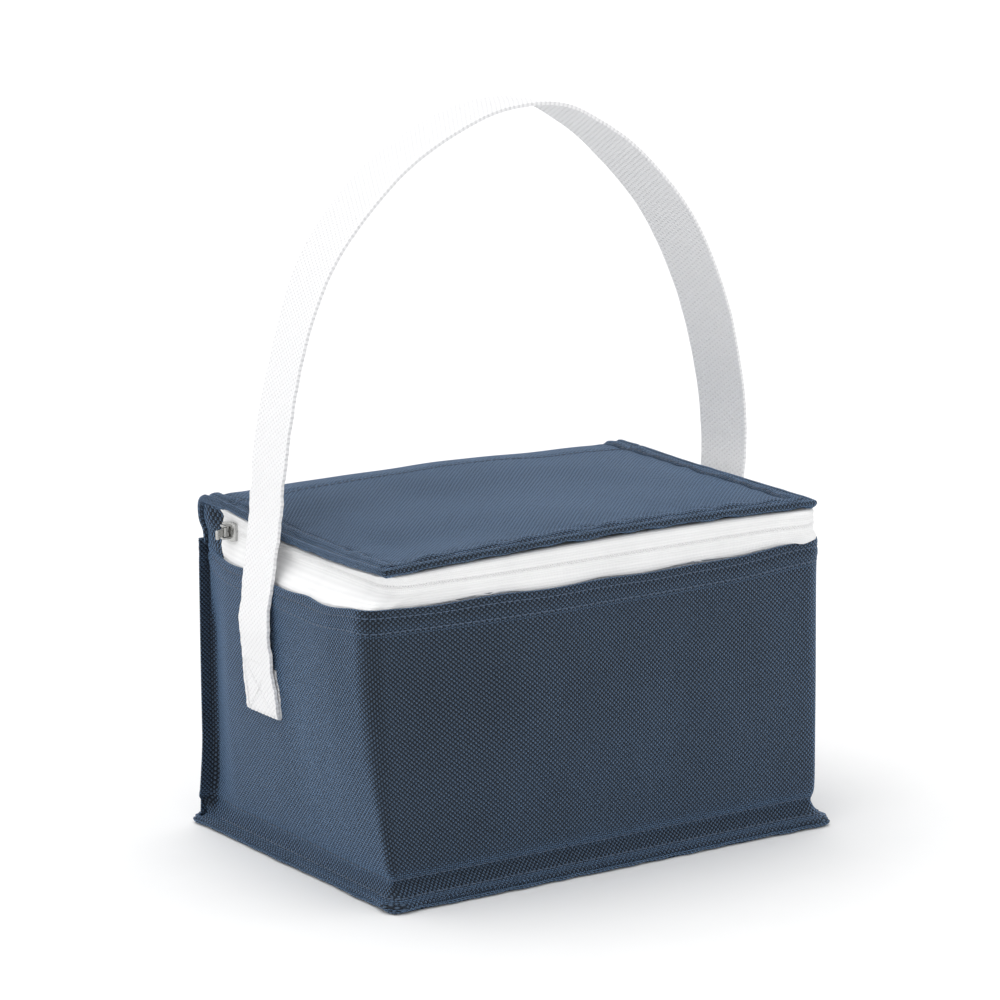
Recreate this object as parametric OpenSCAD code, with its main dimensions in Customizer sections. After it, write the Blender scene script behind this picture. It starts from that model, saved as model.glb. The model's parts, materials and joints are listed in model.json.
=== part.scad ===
// Insulated cooler bag with a zipped lid and a webbing carrying strap.
// Millimetres. X runs along the long front, -Y is the front, +Z is up.
// The origin is the centre of the base, on the surface that the bag stands on.

/* [Bag] */
// Outside width of the walls
bag_w = 205; // [160:1:320]
// Outside depth of the walls
bag_d = 143; // [110:1:240]
// Height from the floor to the top of the closed lid
bag_h = 136; // [100:1:260]
// Radius of the two front corners, seen from above
corner_r = 10; // [6:0.5:20]
// Width of the turned-out seam around the base
base_seam_w = 4; // [2:0.5:8]
// Width of the turned-out seam at each back corner
back_seam_w = 3; // [1:0.5:6]
// Height of the doubled hem along the top of the walls
hem_h = 12; // [9:0.5:20]

/* [Layers] */
// Thickness of the outer cloth
cloth_t = 0.7; // [0.4:0.1:1.2]
// Thickness of the insulating foam
foam_t = 4; // [2:0.5:8]
// Thickness of the inner lining
lining_t = 0.4; // [0.2:0.1:0.8]
// Clearance between two layers that lie together
ply_gap = 0.1; // [0.05:0.05:0.3]

/* [Lid] */
// Radius of the cloth fold that the lid hinges on
fold_r = 7; // [5:0.5:12]
// Clearance of the lid around the fold
hinge_gap = 0.3; // [0.2:0.1:1]
// Height of the folded rim along the lid's edge
rim_h = 2.2; // [1.4:0.1:4]
// How far the lid's foam stays back from the lid's edge
lid_foam_back = 10; // [10:0.5:20]

/* [Zip] */
// Height of the band that shows between lid and wall
zip_band = 12; // [10:0.5:20]
// How far the tape reaches behind the wall's hem
tape_tuck = 8; // [5:0.5:15]
// Thickness of the zip tape
tape_t = 0.6; // [0.4:0.1:1]
// Gap between the two halves of the zip
zip_gap = 0.8; // [0.6:0.1:1.5]
// Height of one row of the coil
coil_h = 1.4; // [1:0.1:2.5]
// Depth of the coil
coil_t = 1; // [0.6:0.1:1.2]
// Length of the slider
slider_len = 10; // [8:0.5:14]
// Height of the slider
slider_h = 8; // [6:0.5:9]
// Length of the pull tab from its pin
pull_len = 8.5; // [6:0.5:10]

/* [Strap] */
// Width of the webbing
strap_w = 25; // [15:1:40]
// Thickness of the webbing
strap_t = 1.4; // [1:0.1:2.5]
// Height of the top of the strap above the floor
strap_top = 300; // [240:1:420]
// How far behind the middle of the side the strap is sewn on
strap_y = 16; // [0:1:30]
// Height of the line where the strap leaves its stitching
strap_line_z = 87; // [70:1:95]
// Length of the sewn end below that line
strap_sewn = 29; // [20:1:40]
// How far the strap bows out beyond the walls
strap_bow = 13; // [12.5:0.5:20]

/* [Hidden] */
$fn = 48;
eps = 0.01;

NAVY = [0.13, 0.2, 0.33];
FOAM = [0.85, 0.86, 0.88];
FOIL = [0.72, 0.74, 0.77];
WHITE = [0.94, 0.94, 0.94];
METAL = [0.7, 0.7, 0.72];

// Heights
wall_z = cloth_t + ply_gap;
hem_z = bag_h - rim_h - zip_band;
zip_z = hem_z + 0.52 * zip_band;
rim_z = bag_h - rim_h;
foam_z = cloth_t + ply_gap;
base_lining_z = foam_z + foam_t + ply_gap;
inside_z = base_lining_z + lining_t + ply_gap;
tape_low_z = hem_z - tape_tuck;
foam_step_z = min(tape_low_z, hem_z - hem_h) - ply_gap;
foam_top_z = hem_z - ply_gap;

// Distances in from the outside face of the walls
foam_in = cloth_t + ply_gap;
lining_in = foam_in + foam_t + ply_gap;
hem_in = 2 * cloth_t;
tape_in = hem_in + ply_gap;
foam_upper_in = tape_in + tape_t + ply_gap;
coil_in = tape_in - ply_gap - coil_t;

// Lid hinge: the axis runs along X through the middle of the cloth fold
hinge_y = bag_d / 2 - fold_r;
hinge_z = bag_h - fold_r;
fold_end_angle = 112;
fold_clear_r = fold_r + hinge_gap;
lid_top_in = fold_r - cloth_t;
zip_end_y = hinge_y - fold_clear_r;
tab_r = fold_r - cloth_t - ply_gap;

// Layers of the lid, measured down from its top
lid_foam_z = bag_h - cloth_t - ply_gap - foam_t;
lid_lining_z = lid_foam_z - ply_gap - lining_t;
tape_leg_w = lid_foam_back - tape_in - 1;

// Slider on the left side
slider_y = zip_end_y - slider_len / 2 - 1.5;
slider_wrap = 0.2;
slider_outer_t = 1.7;
slider_inner_t = 1;
neck_len = 4;
neck_clear = 0.15;
slider_face_x = -bag_w / 2 + coil_in - slider_wrap - slider_outer_t;
pin_r = 0.6;
pin_clear = 0.05;
pin_off = 1.5;
pin_x = slider_face_x - pin_off;
hub_r = 1.3;
hub_h = 4;
lug_t = 1;
lug_gap = 0.1;
pull_t = 1.2;
pull_rest_angle = 212;

// Strap outline in the plane of its width
strap_end_x = bag_w / 2 + ply_gap;
strap_foot_x = strap_end_x + 2 * strap_t + ply_gap + strap_t / 2;
bow_x = bag_w / 2 + strap_bow;
leg_rise = 50;
arch_z = strap_line_z + leg_rise;
arch_rise = strap_top - strap_t / 2 - arch_z;
leg_steps = 8;
arch_steps = 40;

// Distance in front of the lid's axis at which a piece that reaches down to height h above it clears the fold
function fold_start(h) = sqrt(max(fold_clear_r * fold_clear_r - h * h, 0));

function leg_point(i) =
    let (u = i / leg_steps)
    [strap_foot_x + (bow_x - strap_foot_x) * sin(90 * u), strap_line_z + leg_rise * u];

function arch_point(i) =
    let (a = 180 * i / arch_steps)
    [bow_x * cos(a), arch_z + arch_rise * sin(a)];

function mirrored(p) = [-p[0], p[1]];

function strap_route() = concat(
    [for (i = [0:leg_steps - 1]) leg_point(i)],
    [for (i = [0:arch_steps]) arch_point(i)],
    [for (i = [leg_steps - 1:-1:0]) mirrored(leg_point(i))]
);

function side_step(pts, i) =
    let (a = pts[max(i - 1, 0)], b = pts[min(i + 1, len(pts) - 1)], d = b - a)
    [d[1], -d[0]] / norm(d) * strap_t / 2;

// The walls' plan, moved in by a distance: round front corners and a straight back
module plan(inset) {
    w = bag_w - 2 * inset;
    d = bag_d - 2 * inset;
    r = max(corner_r - inset, 1);
    translate([-w / 2, -d / 2 + r]) square([w, d - r]);
    translate([-w / 2 + r, -d / 2]) square([w - 2 * r, d]);
    for (side = [-1, 1]) translate([side * (w / 2 - r), -d / 2 + r]) circle(r);
}

// A band round the left side, the front and the right side, cut off at back_y and open at the back
module band(inset, thick, back_y) {
    difference() {
        plan(inset);
        plan(inset + thick);
        translate([-bag_w, min(back_y, bag_d / 2 - inset - thick)]) square([2 * bag_w, bag_d]);
    }
}

// The plan without what lies behind back_y
module plan_to(inset, back_y) {
    difference() {
        plan(inset);
        translate([-bag_w, back_y]) square([2 * bag_w, bag_d]);
    }
}

// An upright solid of the 2-D children between two heights
module between(z0, z1) {
    translate([0, 0, z0]) linear_extrude(z1 - z0) children();
}

// A solid of 2-D children drawn in the YZ plane, between two places along X
module along_x(x0, x1) {
    translate([x0, 0, 0]) rotate([90, 0, 90]) linear_extrude(x1 - x0) children();
}

module box(low, high) {
    translate(low) cube(high - low);
}

module outer_wall() {
    back_y = bag_d / 2 - cloth_t - ply_gap;
    color(NAVY) {
        between(wall_z, hem_z) band(0, cloth_t, back_y);
        between(hem_z - hem_h, hem_z) band(0, hem_in, back_y);
        between(wall_z, wall_z + cloth_t) band(-base_seam_w, base_seam_w + cloth_t, back_y);
        for (side = [0, 1]) mirror([side, 0, 0])
            box([bag_w / 2 - cloth_t, back_y - cloth_t, wall_z], [bag_w / 2 + back_seam_w, back_y, hem_z]);
    }
}

module base_panel() {
    color(NAVY) between(0, cloth_t) plan(-base_seam_w);
}

module back_panel() {
    seam_x = bag_w / 2 + back_seam_w;
    flange_x = bag_w / 2 + base_seam_w;
    color(NAVY) {
        box([-seam_x, bag_d / 2 - cloth_t, wall_z], [seam_x, bag_d / 2, hem_z]);
        box([-bag_w / 2, bag_d / 2 - cloth_t, wall_z], [bag_w / 2, bag_d / 2, hinge_z]);
        box([-flange_x, bag_d / 2 - cloth_t, wall_z], [flange_x, bag_d / 2 + base_seam_w, wall_z + cloth_t]);
    }
}

module hinge_fold() {
    reach = 2 * fold_r;
    color(NAVY) along_x(-bag_w / 2, bag_w / 2) translate([hinge_y, hinge_z]) intersection() {
        difference() {
            circle(fold_r);
            circle(fold_r - cloth_t);
        }
        polygon([[0, 0], [reach, 0], [reach, reach],
            [reach * cos(fold_end_angle), reach * sin(fold_end_angle)]]);
    }
}

// Cloth tab that closes the side of the fold, behind the end of the zip
module corner_tab() {
    x0 = bag_w / 2 - tape_in - cloth_t;
    color(NAVY) along_x(x0, x0 + cloth_t) {
        translate([hinge_y, hinge_z]) circle(tab_r);
        translate([hinge_y - tab_r, tape_low_z]) square([2 * tab_r, hinge_z - tape_low_z]);
    }
}

module corner_tab_left() {
    mirror([1, 0, 0]) corner_tab();
}

module corner_tab_right() {
    corner_tab();
}

module wall_foam() {
    back_y = bag_d / 2 - lining_in;
    color(FOAM) {
        between(inside_z, foam_step_z) band(foam_in, foam_t, back_y);
        between(foam_step_z - eps, foam_top_z)
            band(foam_upper_in, foam_t + foam_in - foam_upper_in, back_y);
    }
}

module back_foam() {
    half_w = bag_w / 2 - foam_upper_in - cloth_t;
    color(FOAM)
        box([-half_w, bag_d / 2 - foam_in - foam_t, inside_z], [half_w, bag_d / 2 - foam_in, foam_top_z]);
}

module base_foam() {
    color(FOAM) between(foam_z, foam_z + foam_t) plan(foam_in);
}

module wall_lining() {
    color(FOIL) between(inside_z, foam_top_z) band(lining_in, lining_t, bag_d / 2 - lining_in - lining_t - ply_gap);
}

module back_lining() {
    half_w = bag_w / 2 - lining_in;
    color(FOIL)
        box([-half_w, bag_d / 2 - lining_in - lining_t, inside_z], [half_w, bag_d / 2 - lining_in, foam_top_z]);
}

module base_lining() {
    color(FOIL) between(base_lining_z, base_lining_z + lining_t) plan(foam_in);
}

module zip_tape_lower() {
    color(WHITE) between(tape_low_z, zip_z - zip_gap / 2) band(tape_in, tape_t, hinge_y - tab_r - ply_gap);
}

module zip_coil_lower() {
    top_z = zip_z - zip_gap / 2;
    color(WHITE) between(top_z - coil_h, top_z) band(coil_in, coil_t, zip_end_y);
}

// The folded-over, sewn-down end of the strap on the right side
module strap_end() {
    box([strap_end_x, strap_y - strap_w / 2, strap_line_z - strap_sewn],
        [strap_end_x + 2 * strap_t, strap_y + strap_w / 2, strap_line_z]);
}

module strap_end_left() {
    color(WHITE) mirror([1, 0, 0]) strap_end();
}

module strap_end_right() {
    color(WHITE) strap_end();
}

module lid_panel() {
    color(NAVY) {
        between(bag_h - cloth_t, bag_h) plan_to(0, hinge_y - fold_start(lid_top_in));
        between(rim_z, bag_h) band(0, hem_in, hinge_y - fold_start(rim_z - hinge_z));
    }
}

module lid_foam() {
    start = fold_start(lid_foam_z - hinge_z) + ply_gap;
    color(FOAM) between(lid_foam_z, lid_foam_z + foam_t) plan_to(lid_foam_back, hinge_y - start);
}

module lid_lining() {
    start = fold_start(lid_lining_z - hinge_z) + ply_gap;
    color(FOIL) between(lid_lining_z, lid_lining_z + lining_t) plan_to(lid_foam_back, hinge_y - start);
}

module zip_tape_upper() {
    seam_z = bag_h - cloth_t - ply_gap;
    color(WHITE) {
        between(zip_z + zip_gap / 2, seam_z) band(tape_in, tape_t, zip_end_y);
        between(seam_z - tape_t, seam_z) band(tape_in, tape_leg_w, zip_end_y);
    }
}

module zip_coil_upper() {
    low_z = zip_z + zip_gap / 2;
    color(WHITE) between(low_z, low_z + coil_h) band(coil_in, coil_t, zip_end_y);
}

module zip_slider() {
    inner_x = -bag_w / 2 + tape_in + tape_t + slider_wrap;
    low_y = slider_y - slider_len / 2;
    neck_h = zip_gap - 2 * neck_clear;
    lug_z = hub_h / 2 + lug_gap;
    color(METAL) {
        box([slider_face_x, low_y, zip_z - slider_h / 2],
            [slider_face_x + slider_outer_t, low_y + slider_len, zip_z + slider_h / 2]);
        box([inner_x, low_y, zip_z - slider_h / 2],
            [inner_x + slider_inner_t, low_y + slider_len, zip_z + slider_h / 2]);
        box([slider_face_x + eps, low_y, zip_z - neck_h / 2],
            [inner_x + eps, low_y + neck_len, zip_z + neck_h / 2]);
        for (side = [-1, 1]) translate([pin_x, slider_y, zip_z + side * (lug_z + lug_t / 2)]) {
            cylinder(h = lug_t, r = hub_r, center = true);
            translate([0, -hub_r, -lug_t / 2]) cube([pin_off + eps, 2 * hub_r, lug_t]);
        }
        translate([pin_x, slider_y, zip_z]) cylinder(h = 2 * lug_z + lug_t, r = pin_r, center = true);
    }
}

module pull_tab() {
    color(METAL) translate([pin_x, slider_y, zip_z]) rotate([0, 0, pull_rest_angle]) difference() {
        union() {
            cylinder(h = hub_h, r = hub_r, center = true);
            translate([0, -pull_t / 2, -hub_h / 2]) cube([pull_len - hub_h / 2, pull_t, hub_h]);
            translate([pull_len - hub_h / 2, 0, 0]) rotate([90, 0, 0])
                cylinder(h = pull_t, r = hub_h / 2, center = true);
        }
        cylinder(h = 2 * hub_h, r = pin_r + pin_clear, center = true);
    }
}

// The free length of the webbing, from one line of stitching over the bag to the other
module handle_strap() {
    route = strap_route();
    last = len(route) - 1;
    outer = [for (i = [0:last]) route[i] + side_step(route, i)];
    inner = [for (i = [last:-1:0]) route[i] - side_step(route, i)];
    color(WHITE) translate([0, strap_y, 0]) {
        rotate([90, 0, 0]) linear_extrude(strap_w, center = true) polygon(concat(outer, inner));
        for (side = [-1, 1]) translate([side * strap_foot_x, 0, strap_line_z]) rotate([0, 90, 0])
            cylinder(h = strap_t, r = strap_w / 2, center = true);
    }
}

outer_wall();
base_panel();
back_panel();
hinge_fold();
corner_tab_left();
corner_tab_right();
wall_foam();
back_foam();
base_foam();
wall_lining();
back_lining();
base_lining();
zip_tape_lower();
zip_coil_lower();
strap_end_left();
strap_end_right();
lid_panel();
lid_foam();
lid_lining();
zip_tape_upper();
zip_coil_upper();
zip_slider();
pull_tab();
handle_strap();
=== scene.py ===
"""Insulated cooler bag: cloth body, zipped lid and webbing carrying strap, dressed on its CAD frame.

Lengths are millimetres inside the classes and metres in the meshes. X runs along the long front, -Y is the
front and +Z is up. Each sub-assembly is a class: its fields are sizes and its methods make its pieces.
"""

import json
import logging
import math
from dataclasses import dataclass, field
from enum import Enum
from typing import Any, Callable, Sequence

import bpy
import numpy as np
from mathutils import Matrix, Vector

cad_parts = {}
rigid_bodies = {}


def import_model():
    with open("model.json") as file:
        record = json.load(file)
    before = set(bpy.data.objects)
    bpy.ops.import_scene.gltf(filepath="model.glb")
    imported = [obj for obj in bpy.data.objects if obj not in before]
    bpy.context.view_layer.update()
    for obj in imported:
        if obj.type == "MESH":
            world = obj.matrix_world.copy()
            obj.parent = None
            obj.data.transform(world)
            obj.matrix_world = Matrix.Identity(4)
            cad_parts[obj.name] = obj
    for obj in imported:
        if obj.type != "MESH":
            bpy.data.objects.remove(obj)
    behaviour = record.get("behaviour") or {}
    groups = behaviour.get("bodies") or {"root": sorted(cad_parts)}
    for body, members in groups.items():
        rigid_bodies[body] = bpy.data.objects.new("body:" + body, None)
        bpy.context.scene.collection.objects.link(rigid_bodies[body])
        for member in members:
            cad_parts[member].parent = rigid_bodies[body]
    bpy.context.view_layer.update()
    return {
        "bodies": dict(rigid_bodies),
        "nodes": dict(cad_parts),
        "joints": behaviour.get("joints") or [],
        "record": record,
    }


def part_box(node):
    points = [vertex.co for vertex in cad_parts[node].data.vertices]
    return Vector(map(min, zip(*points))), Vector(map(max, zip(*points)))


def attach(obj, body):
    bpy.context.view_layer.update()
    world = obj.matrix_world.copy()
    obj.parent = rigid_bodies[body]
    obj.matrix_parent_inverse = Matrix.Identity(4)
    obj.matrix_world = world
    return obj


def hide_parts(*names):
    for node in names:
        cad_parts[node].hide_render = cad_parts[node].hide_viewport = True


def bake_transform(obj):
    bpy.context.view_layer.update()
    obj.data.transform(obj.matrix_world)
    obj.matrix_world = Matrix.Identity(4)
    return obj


log = logging.getLogger("cooler_bag")

MM = 0.001
Array = np.ndarray
Shape = Callable[[Array, Array], Array]


class Body(Enum):
    """The moving bodies of the bag."""

    BAG = "bag"
    LID = "lid"
    SLIDER = "slider"
    PULL = "pull"
    STRAP = "strap"


class Ply(Enum):
    """Which side of a cut sheet its thickness is added to."""

    INSIDE = -1.0
    MIDDLE = 0.0
    OUTSIDE = 1.0


# ---------------------------------------------------------------- small maths


def ramp(x: Array, start: float, end: float) -> Array:
    """Smooth step from 0 at start to 1 at end; start may be the larger number."""
    t = np.clip((np.asarray(x, float) - start) / (end - start), 0.0, 1.0)
    return t * t * (3.0 - 2.0 * t)


def mound(x: Array, centre: float, width: float) -> Array:
    """Bell curve of height 1 round a centre."""
    return np.exp(-(((np.asarray(x, float) - centre) / width) ** 2))


def ripple(a: Array, b: Array, length: float, seed: int) -> Array:
    """Smooth uneven waves over two coordinates, about -1 to 1.

    Args:
        a: First coordinate in millimetres.
        b: Second coordinate in millimetres.
        length: Typical wave length in millimetres.
        seed: Picks one set of waves.

    Returns:
        One height for each point.
    """
    rng = np.random.default_rng(seed)
    total = np.zeros(np.broadcast(a, b).shape)
    waves = 6
    for _ in range(waves):
        turn = rng.uniform(0.0, math.tau)
        phase = rng.uniform(0.0, math.tau)
        step = math.tau / (length * rng.uniform(0.7, 1.6))
        total = total + np.sin(step * (a * math.cos(turn) + b * math.sin(turn)) + phase)
    return total / math.sqrt(waves)


def smooth_line(points: Sequence[Sequence[float]], count: int) -> Array:
    """Runs one smooth curve through a few points.

    Args:
        points: The points that the curve passes through.
        count: How many points to return.

    Returns:
        Points at even steps of length along the curve.
    """
    p = np.asarray(points, float)
    p = np.vstack([2 * p[0] - p[1], p, 2 * p[-1] - p[-2]])
    parts = []
    fine = 24
    for i in range(1, len(p) - 2):
        t = np.linspace(0.0, 1.0, fine, endpoint=False)[:, None]
        a, b, c, d = p[i - 1], p[i], p[i + 1], p[i + 2]
        parts.append(0.5 * (2 * b + (c - a) * t + (2 * a - 5 * b + 4 * c - d) * t**2
                            + (3 * b - a - 3 * c + d) * t**3))
    line = np.vstack(parts + [p[-2][None, :]])
    return even_steps(line, count)


def even_steps(line: Array, count: int) -> Array:
    """The same line with points at even steps of length."""
    gaps = np.linalg.norm(np.diff(line, axis=0), axis=1)
    run = np.concatenate([[0.0], np.cumsum(gaps)])
    want = np.linspace(0.0, run[-1], count)
    return np.stack([np.interp(want, run, line[:, k]) for k in range(line.shape[1])], axis=1)


@dataclass
class RoundedPath:
    """A plan line with rounded corners, read by its length from one end.

    Args:
        points: Corner points (x, y) in millimetres.
        radii: Radius of each inner corner.
    """

    points: Sequence[tuple[float, float]]
    radii: Sequence[float]
    step: float = 0.5
    line: Array = field(init=False)
    run: Array = field(init=False)
    out: Array = field(init=False)

    def __post_init__(self) -> None:
        """Works out the line, its running length and its outward normals."""
        p = [np.asarray(q, float) for q in self.points]
        line = [p[0]]
        for i, radius in enumerate(self.radii, start=1):
            to_last = (p[i - 1] - p[i]) / np.linalg.norm(p[i - 1] - p[i])
            to_next = (p[i + 1] - p[i]) / np.linalg.norm(p[i + 1] - p[i])
            half = 0.5 * math.acos(float(np.clip(to_last @ to_next, -1, 1)))
            start = p[i] + to_last * radius / math.tan(half)
            middle = (to_last + to_next) / np.linalg.norm(to_last + to_next)
            centre = p[i] + middle * radius / math.sin(half)
            a0 = math.atan2(*(start - centre)[::-1])
            turn = to_last[0] * to_next[1] - to_last[1] * to_next[0]
            sweep = -math.copysign(math.pi - 2 * half, turn)
            for k in range(13):
                a = a0 + sweep * k / 12
                line.append(centre + radius * np.array([math.cos(a), math.sin(a)]))
        line.append(p[-1])
        raw = np.array(line)
        length = float(np.linalg.norm(np.diff(raw, axis=0), axis=1).sum())
        self.line = even_steps(raw, int(length / self.step) + 2)
        gaps = np.linalg.norm(np.diff(self.line, axis=0), axis=1)
        self.run = np.concatenate([[0.0], np.cumsum(gaps)])
        along = np.gradient(self.line, axis=0)
        along /= np.linalg.norm(along, axis=1)[:, None]
        self.out = np.stack([along[:, 1], -along[:, 0]], axis=1)

    @property
    def length(self) -> float:
        """Length of the path in millimetres."""
        return float(self.run[-1])

    def at(self, s: Array, out: Array) -> tuple[Array, Array]:
        """Points at a length along the path, moved outwards.

        Args:
            s: Lengths from the path's start.
            out: Distance to move outwards at each point.

        Returns:
            Their x and y.
        """
        nx = np.interp(s, self.run, self.out[:, 0])
        ny = np.interp(s, self.run, self.out[:, 1])
        x = np.interp(s, self.run, self.line[:, 0]) + nx * out
        y = np.interp(s, self.run, self.line[:, 1]) + ny * out
        return x, y


# ---------------------------------------------------------------- bench tools


def node_box(name: str) -> tuple[Array, Array]:
    """Lower and upper corner of a CAD node's box, in millimetres."""
    low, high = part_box(name)
    return np.array(low) / MM, np.array(high) / MM


def deselect_all() -> None:
    """Leaves object mode clean, with nothing selected."""
    if bpy.context.mode != "OBJECT":
        bpy.ops.object.mode_set(mode="OBJECT")
    bpy.ops.object.select_all(action="DESELECT")


def pick(obj: bpy.types.Object) -> None:
    """Selects one object alone and makes it active."""
    deselect_all()
    obj.select_set(True)
    bpy.context.view_layer.objects.active = obj


def settle(obj: bpy.types.Object) -> None:
    """Puts an object's place into its mesh, so that it sits at the origin."""
    pick(obj)
    bpy.ops.object.transform_apply(location=True, rotation=True, scale=True)


def use_modifier(obj: bpy.types.Object, kind: str, **settings: Any) -> None:
    """Adds a modifier with its settings and applies it."""
    pick(obj)
    bpy.ops.object.modifier_add(type=kind)
    modifier = obj.modifiers[-1]
    for key, value in settings.items():
        setattr(modifier, key, value)
    bpy.ops.object.modifier_apply(modifier=modifier.name)


def read_points(obj: bpy.types.Object) -> Array:
    """Mesh points as an array, in metres."""
    data = np.empty(len(obj.data.vertices) * 3)
    obj.data.vertices.foreach_get("co", data)
    return data.reshape(-1, 3)


def write_points(obj: bpy.types.Object, points: Array) -> None:
    """Moves the mesh points to the given places, in metres."""
    obj.data.vertices.foreach_set("co", np.ascontiguousarray(points, float).ravel())
    obj.data.update()


def shade(obj: bpy.types.Object, degrees: float = 50.0) -> None:
    """Smooth shading with edges sharper than an angle kept crisp."""
    pick(obj)
    bpy.ops.object.shade_smooth_by_angle(angle=math.radians(degrees))


def point_outwards(obj: bpy.types.Object) -> None:
    """Merges doubles and turns every face outwards."""
    pick(obj)
    bpy.ops.object.mode_set(mode="EDIT")
    bpy.ops.mesh.select_all(action="SELECT")
    bpy.ops.mesh.remove_doubles(threshold=1e-6)
    bpy.ops.mesh.normals_make_consistent(inside=False)
    bpy.ops.object.mode_set(mode="OBJECT")


def cut_sheet(name: str, size: tuple[float, float], pitch: float, shape: Shape) -> bpy.types.Object:
    """Cuts a flat rectangle and lays it on a shape; its UV map keeps the flat size in metres.

    Args:
        name: Name of the piece.
        size: Flat width and height in millimetres.
        pitch: Spacing of the mesh in millimetres.
        shape: Turns flat (u, v) in millimetres into places (n, 3) in millimetres.

    Returns:
        The single-layer sheet.
    """
    deselect_all()
    columns = max(2, round(size[0] / pitch))
    rows = max(2, round(size[1] / pitch))
    bpy.ops.mesh.primitive_grid_add(x_subdivisions=columns, y_subdivisions=rows, size=1.0, calc_uvs=True)
    obj = bpy.context.object
    obj.name = name
    obj.data.name = name
    flat = read_points(obj)
    u = (flat[:, 0] + 0.5) * size[0]
    v = (flat[:, 1] + 0.5) * size[1]
    corner = np.empty(len(obj.data.loops), dtype=np.int32)
    obj.data.loops.foreach_get("vertex_index", corner)
    layer = np.stack([u[corner], v[corner]], axis=1) * MM
    obj.data.uv_layers[0].data.foreach_set("uv", layer.ravel())
    write_points(obj, shape(u, v) * MM)
    obj["cut"] = [side * MM for side in size]
    return obj


def face_towards(obj: bpy.types.Object, way: tuple[float, float, float]) -> None:
    """Turns an open sheet over if most of it faces away from a direction."""
    total = sum((p.normal * p.area for p in obj.data.polygons), Vector())
    if total.dot(Vector(way)) < 0:
        pick(obj)
        bpy.ops.object.mode_set(mode="EDIT")
        bpy.ops.mesh.select_all(action="SELECT")
        bpy.ops.mesh.flip_normals()
        bpy.ops.object.mode_set(mode="OBJECT")


def thicken(obj: bpy.types.Object, thickness: float, ply: Ply) -> bpy.types.Object:
    """Gives a sheet its thickness in millimetres."""
    use_modifier(obj, "SOLIDIFY", thickness=thickness * MM, offset=ply.value, use_even_offset=False)
    shade(obj)
    return obj


def join(pieces: Sequence[bpy.types.Object], name: str) -> bpy.types.Object:
    """Joins finished pieces into one object."""
    deselect_all()
    for piece in pieces:
        piece.select_set(True)
    bpy.context.view_layer.objects.active = pieces[0]
    bpy.ops.object.join()
    joined = bpy.context.object
    joined.name = name
    joined.data.name = name
    return joined


def repeat_along(template: bpy.types.Object, line: Array, pitch: float, name: str) -> bpy.types.Object:
    """Repeats a small shape, drawn along +X from the origin, along a line.

    Args:
        template: The shape; it becomes the row.
        line: Points in millimetres that the row follows.
        pitch: Spacing of the copies in millimetres.
        name: Name of the row.

    Returns:
        The row as one mesh.
    """
    line = np.asarray(line, float)
    length = float(np.linalg.norm(np.diff(line, axis=0), axis=1).sum())
    guide = bpy.data.curves.new(name + "_guide", "CURVE")
    guide.dimensions = "3D"
    guide.twist_mode = "Z_UP"
    spline = guide.splines.new("POLY")
    spline.points.add(len(line) - 1)
    spline.points.foreach_set("co", np.hstack([line * MM, np.ones((len(line), 1))]).ravel())
    runner = bpy.data.objects.new(name + "_guide", guide)
    bpy.context.scene.collection.objects.link(runner)
    use_modifier(template, "ARRAY", fit_type="FIXED_COUNT", count=max(1, int(length / pitch)),
                 use_relative_offset=False, use_constant_offset=True,
                 constant_offset_displace=(pitch * MM, 0.0, 0.0))
    use_modifier(template, "CURVE", object=runner, deform_axis="POS_X")
    bpy.data.objects.remove(runner)
    bpy.data.curves.remove(guide)
    template.name = name
    template.data.name = name
    shade(template, 80.0)
    return template


def thread_stitch(length: float, radius: float) -> bpy.types.Object:
    """One stitch of sewing thread, lying along +X, with both ends dipping into the cloth."""
    deselect_all()
    bpy.ops.mesh.primitive_cylinder_add(vertices=6, radius=radius * MM, depth=length * MM,
                                        end_fill_type="TRIFAN", rotation=(0.0, math.pi / 2, 0.0),
                                        location=(length / 2 * MM, 0.0, 0.0))
    stitch = bpy.context.object
    settle(stitch)
    bpy.ops.object.mode_set(mode="EDIT")
    bpy.ops.mesh.select_all(action="SELECT")
    bpy.ops.mesh.bisect(plane_co=(length * 0.25 * MM, 0, 0), plane_no=(1, 0, 0))
    bpy.ops.mesh.select_all(action="SELECT")
    bpy.ops.mesh.bisect(plane_co=(length * 0.75 * MM, 0, 0), plane_no=(1, 0, 0))
    bpy.ops.object.mode_set(mode="OBJECT")
    points = read_points(stitch)
    along = points[:, 0] / (length * MM)
    taper = 1.0 - 0.55 * (2 * np.abs(along - 0.5)) ** 3
    points[:, 1:] *= taper[:, None]
    write_points(stitch, points)
    return stitch


def stitch_row(line: Array, name: str, length: float = 2.6, radius: float = 0.3,
               pitch: float = 3.2) -> bpy.types.Object:
    """One row of stitches along a line.

    Args:
        line: Points in millimetres.
        name: Name of the row.
        length: Length of a stitch in millimetres.
        radius: Radius of the thread in millimetres.
        pitch: Spacing of the stitches in millimetres.

    Returns:
        The row as one mesh.
    """
    return repeat_along(thread_stitch(length, radius), line, pitch, name)


# ---------------------------------------------------------------- shader maths


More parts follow.
